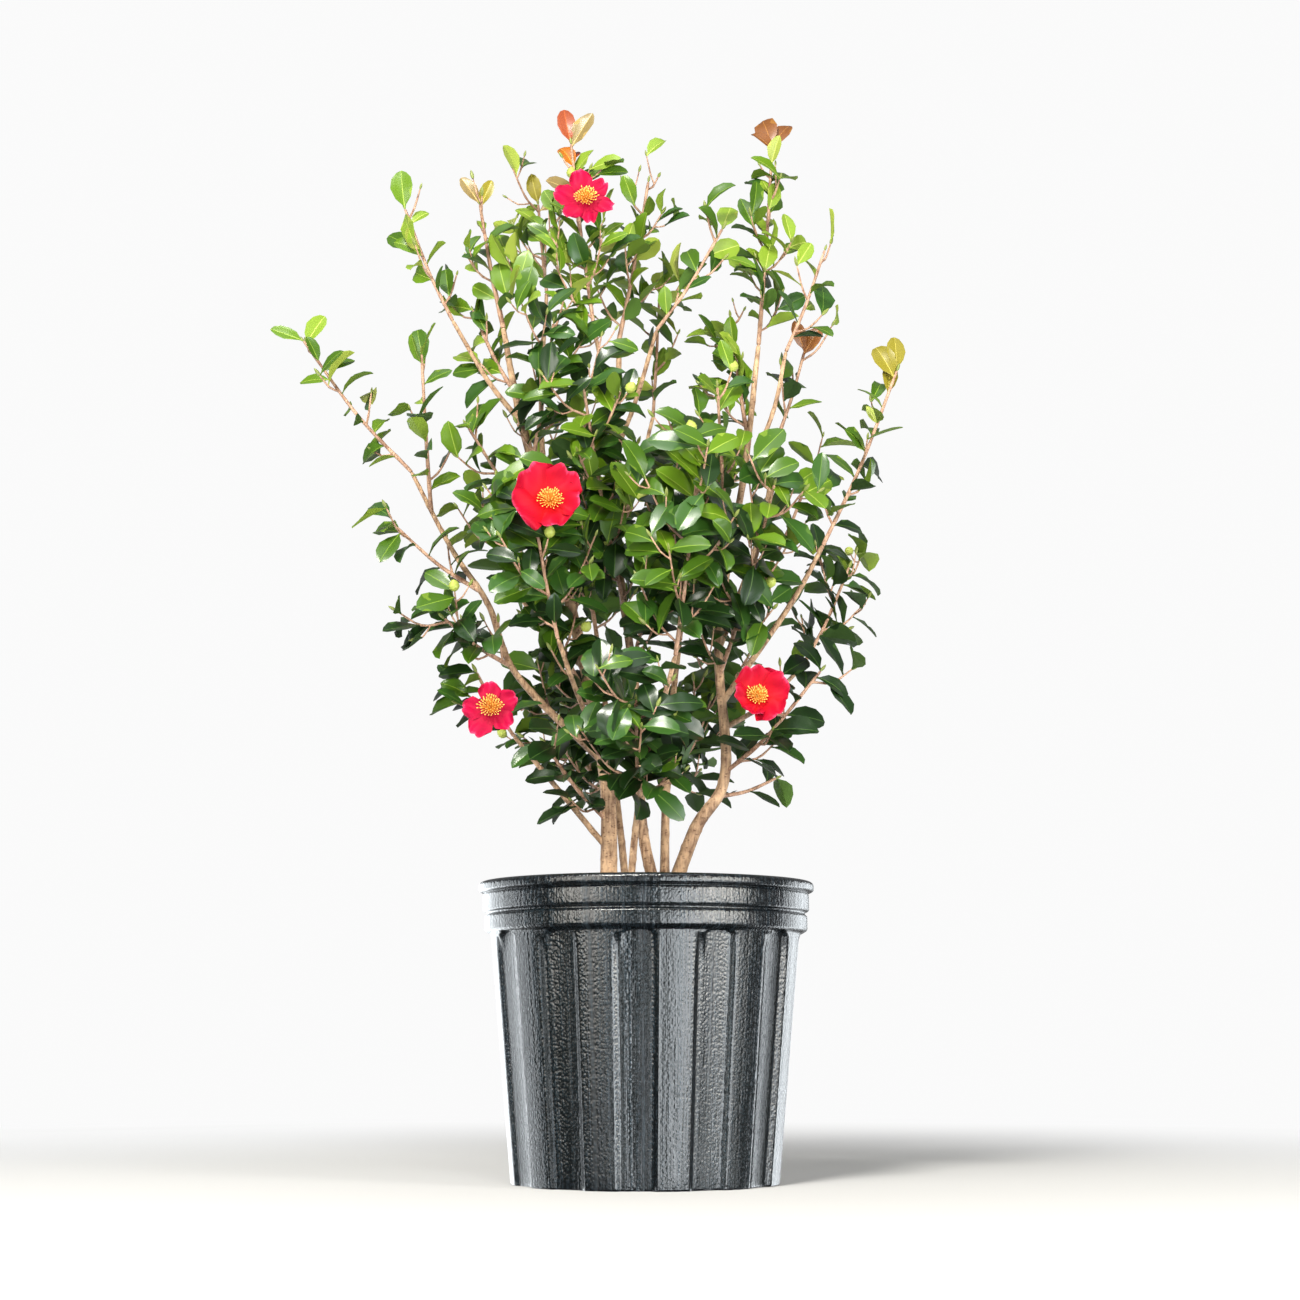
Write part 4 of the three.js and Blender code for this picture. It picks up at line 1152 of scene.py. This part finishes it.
tips = np.array([shoot["curve"](1.0) for shoot in shoots])
bud_parts = []
for number, (x, z) in enumerate(BUD_SPOTS):
    miss = np.hypot(tips[:, 0] - x, tips[:, 2] - z) + 0.25 * np.maximum(0, tips[:, 1] + 60)
    chosen = int(np.argmin(miss))
    direction = heading(shoots[chosen]["curve"], 1.0)
    bud_parts.append(scaled_bud(tips[chosen] - direction * 0.6, direction, 10.5, 4.6))
budding = (tips[:, 1] > BACK_OF_CROWN) & (chance(3.0, np.arange(len(tips))) > BUD_LIMIT)
for chosen in np.nonzero(budding)[0]:
    direction = heading(shoots[chosen]["curve"], 1.0)
    bud_parts.append(scaled_bud(tips[chosen] - direction * 0.6, direction, 9.5, 4.2))
# Living bud scales have a fine down, which gives the eye a soft yellow-green without glints.
bud_green = new_material("flower_bud_scale_living_yellow_green", "#a9b652", 0.5)[0]
add_piece("flower_buds", join(bud_parts), [bud_green])
print("flower buds", len(bud_parts))

# %% Leaf buds on every shoot
# A leaf bud is wrapped in tight dry scales and gives the eye a dull olive point.
bud_skin = new_material("leaf_bud_living_olive", "#7e8a42", 0.5)[0]
bud_parts = []
for i, shoot in enumerate(shoots + list(MASSES.values())):
    direction = heading(shoot["curve"], 1.0)
    tip = shoot["curve"](1.0)
    size = between(0.8, 1.3, chance(i, 7.0))
    bud_parts.append(spindle(tip - direction, direction, 6.5 * size, 1.25 * size, 6,
                             (0.55, 0.95, 1.0, 0.7, 0.15)))
add_piece("leaf_buds", join(bud_parts), [bud_skin])

# %% [markdown]
# ## The pot
#
# The pot is blow-moulded polyethylene: hot plastic blown against a steel mould, so its corners
# are round, raised and sunk panels alternate round it, and a thin seam runs down where the mould's
# halves met. Radius is a function of the angle and of the way along the profile. The profile goes
# up the outside, over the rolled lip and down the inside, and closes on itself.

# %% Profile of the wall
POT_PROFILE = [
    (104, 0, 0.5), (111, 0, 1.8), (128.6, 200.5, 1.2), (129, 203, 1.5), (131.6, 204.2, 0.8),
    (134.5, 206, 1.4), (134.5, 217.6, 1.6), (132.4, 219, 0.8), (132.6, 220.6, 0.8),
    (136, 222, 1.6), (136, 235.4, 1.6), (134.6, 236.6, 0.8), (137.6, 237.4, 0.8),
    (140, 238.6, 1.6), (140, 244, 2.6), (137.2, 246, 2.6), (133, 246, 2.6), (130.8, 243.2, 2.0),
    (130, 236, 3), (129.8, 219, 3), (123.4, 203, 3), (105.4, 4, 1.5), (104, 3, 0.5),
]


def rounded_profile(corners, steps=4, pitch=11.0):
    """Cuts each corner back by its third number and puts a bend of short steps there, then
    divides long straights into steps of about the pitch. The loop is closed."""
    rows = np.array(corners, float)
    spots, cuts = rows[:, :2], rows[:, 2:]
    before, after = np.roll(spots, 1, axis=0), np.roll(spots, -1, axis=0)
    reach_in = np.minimum(cuts, 0.45 * np.linalg.norm(before - spots, axis=1, keepdims=True))
    reach_out = np.minimum(cuts, 0.45 * np.linalg.norm(after - spots, axis=1, keepdims=True))
    enter = spots + unit(before - spots) * reach_in
    leave = spots + unit(after - spots) * reach_out
    t = np.linspace(0, 1, steps)[:, None, None]
    bends = enter * (1 - t) ** 2 + 2 * spots * t * (1 - t) + leave * t ** 2
    line = bends.transpose(1, 0, 2).reshape(-1, 2)
    following = np.roll(line, -1, axis=0)
    pieces = np.maximum(1, np.round(np.linalg.norm(following - line, axis=1) / pitch)).astype(int)
    straight = np.repeat(np.arange(len(line)), pieces)
    step = np.arange(len(straight)) - (np.cumsum(pieces) - pieces)[straight]
    run = (following - line)[straight]
    return line[straight] + run * step[:, None] / pieces[straight, None]


# %% Raised and sunk panels
PANEL_PAIRS = 12
PANEL_SLOPE = 2.6
PANEL_TURN = 5.0
PANEL_TOP = 201.0


def panel_sink(angle, z):
    """From 0 on a raised panel to 1 on a sunk one, with soft slopes between them. A parabola
    hollows each sunk panel nearly flat and another crowns each raised one. A sunk panel ends in
    a low arch under the lower band."""
    step = 360 / PANEL_PAIRS
    turn = np.mod(np.degrees(angle) - PANEL_TURN, step)
    flat = step / 2 - PANEL_SLOPE
    sunk = smooth((turn - flat) / PANEL_SLOPE) * smooth((step - turn) / PANEL_SLOPE)
    middle = step / 2 + PANEL_SLOPE / 2 + flat / 2
    offset = np.minimum(1.0, np.abs(turn - middle) / (flat / 2))
    arch = PANEL_TOP + 3.5 - 4.5 * offset ** 3
    hollow = sunk * (1 + 0.42 * (1 - offset ** 2))
    crown = (1 - sunk) * 0.05 * (1 - np.minimum(1.0, np.abs(turn - flat / 2) / (flat / 2)) ** 2)
    return (hollow - crown) * smooth((arch - z) / 2.2)


# %% The wall
SPOKES = 600
LIP_RADIUS = 140
PANEL_DEPTH = 3.6
SEAM_TURN = -85
SEAM_HEIGHT = 0.55


def loop_faces(rows, sides):
    """Four-sided faces of a ring of rings: closed both round each ring and from last to first."""
    i = np.arange(rows)[:, None] * sides
    k = np.roll(np.arange(rows), -1)[:, None] * sides
    j = np.arange(sides)
    n = np.roll(j, -1)
    return stacked(i + j, i + n, k + n, k + j).reshape(-1, 4)


def pot_part():
    """The radius is the profile's, less the panel depth where a panel is sunk, plus the mould's
    seam and a soft unevenness, on the outside only."""
    profile = rounded_profile(POT_PROFILE)
    angle = turns(SPOKES)
    radius, z = profile[:, 0][:, None], profile[:, 1][:, None]
    start = np.argmax(profile[:, 1])
    outside = (np.arange(len(profile)) <= start)[:, None]
    drop = PANEL_DEPTH * panel_sink(angle, z) * smooth(z / 2 + 1)
    seam_turn = np.degrees(np.mod(angle - math.radians(SEAM_TURN) + math.pi / 2, math.pi)
                           - math.pi / 2)
    spots = stacked(LIP_RADIUS * np.cos(angle), LIP_RADIUS * np.sin(angle), z)
    worn = smooth(1.4 + 1.6 * soft_noise(spots, (40, 40, 9), 2.0))
    seam = SEAM_HEIGHT * np.exp(-(seam_turn / 0.35) ** 2) * worn
    uneven = 0.22 * soft_noise(spots, (16, 16, 60), 5.0)
    full = radius + np.where(outside, seam + uneven - drop, 0 * drop)
    ring = stacked(full * np.cos(angle), full * np.sin(angle), z)
    return ring.reshape(-1, 3), [loop_faces(len(profile), SPOKES)]


# %% The base and its drain holes


def base_part(holes=6, hole_radius=7.0, circle=88.0, rim=106.0, low=0.6, high=3.2):
    """A flat plate in equal wedges with a round drain hole in each. Rays leave the hole's middle,
    and points lie from the hole's edge to where each ray meets the wedge's two sides or its arc."""
    half = math.pi / holes
    rays, rings = 96, 5
    ray = turns(rays)
    way = stacked(np.cos(ray), np.sin(ray))
    middle = np.array([circle, 0.0])
    reach = -middle @ way.T + np.sqrt((way @ middle) ** 2 + rim ** 2 - circle ** 2)
    for sign in (1, -1):
        across = np.array([-math.sin(sign * half), math.cos(sign * half)]) * sign
        slope = way @ across
        crossing = np.where(slope > 1e-6, (-middle @ across) / np.maximum(slope, 1e-6), np.inf)
        reach = np.minimum(reach, crossing)
    steps = np.linspace(0, 1, rings)[:, None]
    spots = middle + way * (hole_radius + (reach - hole_radius) * steps)[..., None]
    loop = np.concatenate([np.concatenate([rows, np.full((rings, rays, 1), z)], axis=-1)
                           for rows, z in ((spots, high), (spots[::-1], low))])
    faces = loop_faces(2 * rings, rays)[:, [0, 3, 2, 1]]
    parts = []
    for wedge in range(holes):
        turn = wedge * 2 * half
        spin = np.array([[math.cos(turn), math.sin(turn), 0], [-math.sin(turn), math.cos(turn), 0],
                         [0, 0, 1]])
        parts.append((loop.reshape(-1, 3) @ spin, [faces]))
    return join(parts)


# %% Moulded plastic
PEBBLE = 2.2
STREAK_WIDTH = 2.0


def plastic_material():
    """Black polyethylene, blow-moulded against a blasted mould: satin, with a pebbled grain and
    fine drag lines from top to bottom. It gives the eye pale highlights that break into specks
    and streaks, and its base colour is paler on the pebbles' tops and along the drag lines as
    painted glints. The real pebbles are about 1.5 mm and are drawn half as wide again, to show."""
    material, shader = new_material("pot_polyethylene_blow_moulded_black", "#101316", 0.3,
                                    IOR=1.54, Specular_IOR_Level=0.75)
    place = add_node(material, "ShaderNodeTexCoord")
    pebbles = add_node(material, "ShaderNodeTexVoronoi", dict(feature="SMOOTH_F1"),
                       Vector=place.outputs["Object"], Scale=1 / (PEBBLE * MM), Smoothness=0.6)
    level = add_node(material, "ShaderNodeVectorMath", dict(operation="MULTIPLY"),
                     _0=place.outputs["Object"], _1=(1.0, 1.0, 0.0))
    outward = add_node(material, "ShaderNodeVectorMath", dict(operation="NORMALIZE"),
                       _0=level.outputs["Vector"])
    rise = add_node(material, "ShaderNodeVectorMath", dict(operation="MULTIPLY"),
                    _0=place.outputs["Object"], _1=(0.0, 0.0, 0.005))
    wall = add_node(material, "ShaderNodeVectorMath", dict(operation="MULTIPLY_ADD"),
                    _0=outward.outputs["Vector"], _1=(0.125, 0.125, 0.0), _2=rise.outputs["Vector"])
    streaks = add_node(material, "ShaderNodeTexNoise", Vector=wall.outputs["Vector"],
                       Scale=1 / (STREAK_WIDTH * MM), Detail=3.0, Roughness=0.65)
    relief = add_node(material, "ShaderNodeMath", dict(operation="MULTIPLY_ADD"),
                      _0=pebbles.outputs["Distance"], _1=-0.7, _2=streaks.outputs["Fac"])
    bump = add_node(material, "ShaderNodeBump", Height=relief.outputs[0], Strength=0.75,
                    Distance=0.55 * MM)
    dust = add_node(material, "ShaderNodeTexNoise", Vector=wall.outputs["Vector"],
                    Scale=1 / (8 * MM), Detail=4.0)
    # Painted glints: the base colour is paler on the pebbles' tops and along the drag lines.
    tone = add_node(material, "ShaderNodeMath", dict(operation="MULTIPLY_ADD"),
                    _0=pebbles.outputs["Distance"], _1=-0.4, _2=streaks.outputs["Fac"])
    ramp = add_node(material, "ShaderNodeValToRGB", Fac=tone.outputs[0],
                    stops=[(0.28, "#080c0f"), (0.56, "#232e36")])
    rough = add_node(material, "ShaderNodeMapRange", Value=dust.outputs["Fac"],
                     From_Min=0.3, From_Max=0.7, To_Min=0.17, To_Max=0.3)
    feed(material, shader, Base_Color=ramp.outputs["Color"], Normal=bump.outputs["Normal"],
         Roughness=rough.outputs["Result"])
    return material


# %% The pot's two pieces
plastic = plastic_material()
pot = add_piece("pot_wall", pot_part(), [plastic], crease=40)
add_piece("pot_base", base_part(), [plastic], crease=40)
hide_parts("pot")

# %% [markdown]
# ## Potting mix
#
# Nursery mix is composted bark with peat and a little white perlite. Its surface is a disc with
# soft lumps, closed by the pot's inside shape. Chips and grains lie on it, each a small rough
# stone, which is cheaper and cleaner than one very fine surface.

# %% Surface of the mix
MIX_FOOT = (104.8, 3.4)
MIX_SIDE = [(105.0, 4.0), (122.8, 203.0), (129.3, 215.0)]
POLE = 0.4


def mix_part(rings=70, spokes=150):
    """A turned shape whose flat top is lifted by soft lumps that fade at the wall."""
    foot, level = MIX_FOOT
    rim = MIX_SIDE[-1][0]
    profile = np.concatenate([
        stacked(np.linspace(foot, POLE, 12), level)[::-1],
        np.array(MIX_SIDE),
        stacked(np.linspace(rim, POLE, rings), SOIL_LEVEL - 0.5),
    ])
    angle = turns(spokes)
    ring = stacked(profile[:, :1] * np.cos(angle), profile[:, :1] * np.sin(angle), profile[:, 1:])
    top = ring[-rings:]
    fade = smooth((129.5 - np.hypot(top[..., 0], top[..., 1])) / 4)
    flat = top * [1, 1, 0]
    top[..., 2] += 1.6 * soft_noise(flat, 22, 1.0) + fade * (1.1 * soft_noise(flat, 6, 2.0)
                                                            + 0.6 * soft_noise(flat, 2.6, 3.0))
    return ring.reshape(-1, 3), ring_faces(len(profile), spokes)


# %% Stones and where they lie


def rough_stones(centres, sizes, seed, rows=5, sides=7):
    """Many stones at once: each is a ball of rings, its radius roughened by chance, squashed to
    its three sizes and turned about two axes."""
    count = len(centres)
    polar = (np.arange(rows) + 0.5) / rows * math.pi
    turn = turns(sides)
    ball = stacked(np.sin(polar)[:, None] * np.cos(turn), np.sin(polar)[:, None] * np.sin(turn),
                   np.cos(polar)[:, None]).reshape(-1, 3)
    rough = between(0.72, 1.2, chance(seed + np.arange(count)[:, None], np.arange(len(ball)) * 1.3))
    stones = ball * rough[..., None] * sizes[:, None]
    spin = chance(seed + 7, np.arange(count)) * 2 * math.pi
    tilt = (chance(seed + 9, np.arange(count)) - 0.5) * 1.2
    x, y, z = stones[..., 0], stones[..., 1], stones[..., 2]
    x, z = (x * np.cos(tilt)[:, None] - z * np.sin(tilt)[:, None],
            x * np.sin(tilt)[:, None] + z * np.cos(tilt)[:, None])
    x, y = (x * np.cos(spin)[:, None] - y * np.sin(spin)[:, None],
            x * np.sin(spin)[:, None] + y * np.cos(spin)[:, None])
    points = stacked(x, y, z) + centres[:, None]
    quads, ends = ring_faces(rows, sides)
    first = np.arange(count)[:, None, None] * len(ball)
    return points.reshape(-1, 3), [(first + quads[:, ::-1]).reshape(-1, 4),
                                   (first + ends[:, ::-1]).reshape(-1, sides)]


def scattered(count, seed, rim=125.0):
    """Even chance over a disc: the radius is the root of a chance, the angle another."""
    number = np.arange(count)
    radius = rim * np.sqrt(chance(seed, number))
    turn = 2 * math.pi * chance(seed + 1, number)
    return stacked(radius * np.cos(turn), radius * np.sin(turn), 0.0)


# %% Composted bark and perlite
# Composted bark is milled and damp: it gives the eye a mottled dark brown with no gloss. Torn
# chips dry paler or darker than it, and perlite, blown up by heat, is a chalky white.
mix_material, mix_shader = new_material("potting_mix_composted_bark", "#2f1d17", 0.95)
mix_place = add_node(mix_material, "ShaderNodeTexCoord")
mix_grain = add_node(mix_material, "ShaderNodeTexNoise", Vector=mix_place.outputs["Object"],
                     Scale=1 / (2.5 * MM), Detail=6.0)
mix_ramp = add_node(mix_material, "ShaderNodeValToRGB", Fac=mix_grain.outputs["Fac"],
                    stops=[(0.35, "#1a0f0c"), (0.72, "#51352a")])
mix_bump = add_node(mix_material, "ShaderNodeBump", Height=mix_grain.outputs["Fac"], Strength=0.8,
                    Distance=1.5 * MM)
feed(mix_material, mix_shader, Base_Color=mix_ramp.outputs["Color"],
     Normal=mix_bump.outputs["Normal"])
chip_material = new_material("bark_chip_composted_brown", "#4a2f23", 0.9)[0]
dark_chip_material = new_material("bark_chip_composted_black_brown", "#2a1a14", 0.9)[0]
perlite_material = new_material("perlite_expanded_white", "#e6e1d8", 0.85)[0]

# %% The mix and what lies on it
mix = add_piece("mix_surface", mix_part(), [mix_material])
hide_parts("potting_mix")
for name, count, size, seed, material in (
        ("bark_chips_brown", 420, (4.2, 2.2, 1.3), 11, chip_material),
        ("bark_chips_dark", 420, (3.4, 2.0, 1.3), 23, dark_chip_material),
        ("perlite_grains", 130, (1.6, 1.4, 1.3), 37, perlite_material)):
    spots = scattered(count, seed)
    spots[:, 2] = SOIL_LEVEL + 0.4 + 1.6 * soft_noise(spots, 22, 1.0)
    scale = between(0.6, 1.35, chance(seed + 3, np.arange(count)))[:, None] * np.array(size)
    add_piece(name, rough_stones(spots, scale, seed), [material], crease=80)

# %% [markdown]
# ## Floor, light and camera
#
# The plant stands on a plain white floor in a white studio. Plastic and waxed leaves only look
# right if they have something to reflect, so the surround is white behind the plant and dim
# behind the camera: the pot's front stays dark while its edges and flutes draw pale lines. A
# key light from the upper left front, a soft box on each side and a front fill light the plant.
# A wide box overhead only puts sheen on the leaves, and upright strips only shine in the pot's
# flutes: real studios do this with cards and strip lamps. The camera stands low, two metres off,
# and looks up a little, as the pot's rim and bands show. The plain view transform keeps the
# colours as they are given.

# %% Floor
floor_mesh = bpy.data.meshes.new("floor")
floor_mesh.from_pydata([(-30, -30, 0), (30, -30, 0), (30, 30, 0), (-30, 30, 0)], [],
                       [(0, 1, 2, 3)])
floor = bpy.data.objects.new("floor", floor_mesh)
bpy.context.scene.collection.objects.link(floor)
# A painted board, matte and even. Far from the plant it glows, to run into the white behind.
floor_material, floor_shader = new_material("floor_matte_white", "#dedede", 0.9)
floor_place = add_node(floor_material, "ShaderNodeTexCoord")
floor_far = add_node(floor_material, "ShaderNodeVectorMath", dict(operation="LENGTH"),
                     _0=floor_place.outputs["Object"])
floor_share = add_node(floor_material, "ShaderNodeMapRange", dict(interpolation_type="SMOOTHSTEP"),
                       Value=floor_far.outputs["Value"], From_Min=0.35, From_Max=1.5)
floor_glow = add_node(floor_material, "ShaderNodeEmission", Strength=0.96)
floor_mix = add_node(floor_material, "ShaderNodeMixShader", _0=floor_share.outputs["Result"],
                     _1=floor_shader.outputs["BSDF"], _2=floor_glow.outputs["Emission"])
feed(floor_material, floor_material.node_tree.nodes["Material Output"],
     Surface=floor_mix.outputs["Shader"])
floor_material.cycles.emission_sampling = "NONE"
floor_mesh.materials.append(floor_material)
floor.visible_glossy = False
floor.visible_shadow = False

# %% A lamp
WARM_WHITE = (1.0, 0.97, 0.9)
COOL_WHITE = (0.9, 0.96, 1.0)


def add_light(name, place, target, size, power, colour=WARM_WHITE, diffuse=True, gloss=True):
    """An oblong soft light at a place, turned to a target. Sizes are in metres. It may light
    matte colour only, or be seen in shiny surfaces only."""
    data = bpy.data.lights.new(name, "AREA")
    data.shape = "RECTANGLE"
    data.size, data.size_y = size
    data.energy = power
    data.color = colour
    lamp = bpy.data.objects.new(name, data)
    lamp.location = place
    direction = np.subtract(target, place)
    lamp.rotation_euler = (math.atan2(np.hypot(direction[0], direction[1]), -direction[2]), 0,
                           math.atan2(direction[1], direction[0]) - math.pi / 2)
    lamp.visible_camera = False
    lamp.visible_diffuse = diffuse
    lamp.visible_glossy = gloss
    bpy.context.scene.collection.objects.link(lamp)


# %% The studio's lamps
add_light("key_light", (-0.8, -2.1, 2.4), (0, 0, 0.5), (0.7, 0.7), 104)
add_light("soft_box_right", (1.7, -1.4, 0.6), (0, 0, 0.45), (0.6, 1.3), 31)
add_light("soft_box_left", (-1.5, -1.5, 0.6), (0, 0, 0.45), (0.6, 1.3), 20)
add_light("front_fill", (0.5, -2.3, 0.5), (0, 0, 0.4), (0.6, 0.6), 34, gloss=False)
add_light("sheen_box", (0, -0.9, 2.8), (0, 0, 0.5), (2.4, 2.0), 22, COOL_WHITE, diffuse=False)
# Each strip: degrees round the pot from its front, width in metres, glow
GLOSS_STRIPS = [(26, 0.5, 7.5), (62, 0.22, 5.0), (-20, 0.2, 3.6), (-104, 0.3, 4.5),
                (-144, 1.0, 4.5), (134, 0.8, 4.0)]
for number, (turn, width, glow) in enumerate(GLOSS_STRIPS):
    turn, reach, height = math.radians(turn), 1.3, 1.1
    add_light(f"gloss_strip_{number}", (reach * math.sin(turn), -reach * math.cos(turn), -0.1),
              (0, 0, -0.1), (width, height), glow * math.pi * width * height, COOL_WHITE,
              diffuse=False)

# %% The white surround
world = bpy.data.worlds.new("white_studio")
bpy.context.scene.world = world
world.use_nodes = True
way = add_node(world, "ShaderNodeTexCoord")
way_parts = add_node(world, "ShaderNodeSeparateXYZ", Vector=way.outputs["Generated"])
behind = add_node(world, "ShaderNodeMapRange", dict(interpolation_type="SMOOTHSTEP"),
                  Value=way_parts.outputs["Y"], From_Min=-0.1, From_Max=0.7, To_Min=0.05,
                  To_Max=0.26)
above = add_node(world, "ShaderNodeMapRange", Value=way_parts.outputs["Z"], From_Min=0.1,
                 From_Max=0.9, To_Min=0.0, To_Max=0.1)
glow = add_node(world, "ShaderNodeMath", dict(operation="ADD"), _0=behind.outputs["Result"],
                _1=above.outputs["Result"])
ray = add_node(world, "ShaderNodeLightPath")
seen = add_node(world, "ShaderNodeMix", dict(data_type="FLOAT"), _0=ray.outputs["Is Camera Ray"],
                _2=glow.outputs[0], _3=0.96)
feed(world, world.node_tree.nodes["Background"], Color=(1, 1, 1, 1), Strength=seen.outputs[0])
bpy.context.scene.view_settings.view_transform = "Standard"

# %% Camera, as fitted to the pot's rim, foot and bands
CAMERA_PLACE = (0.0033, -2.0, 0.1198)
UPWARD_LOOK = 9.20
LENS_MM = 65.93

camera_data = bpy.data.cameras.new("camera")
camera_data.sensor_width = 36
camera_data.lens = LENS_MM
camera = bpy.data.objects.new("camera", camera_data)
camera.location = CAMERA_PLACE
camera.rotation_euler = (math.radians(90 + UPWARD_LOOK), 0, 0)
bpy.context.scene.collection.objects.link(camera)
bpy.context.scene.camera = camera
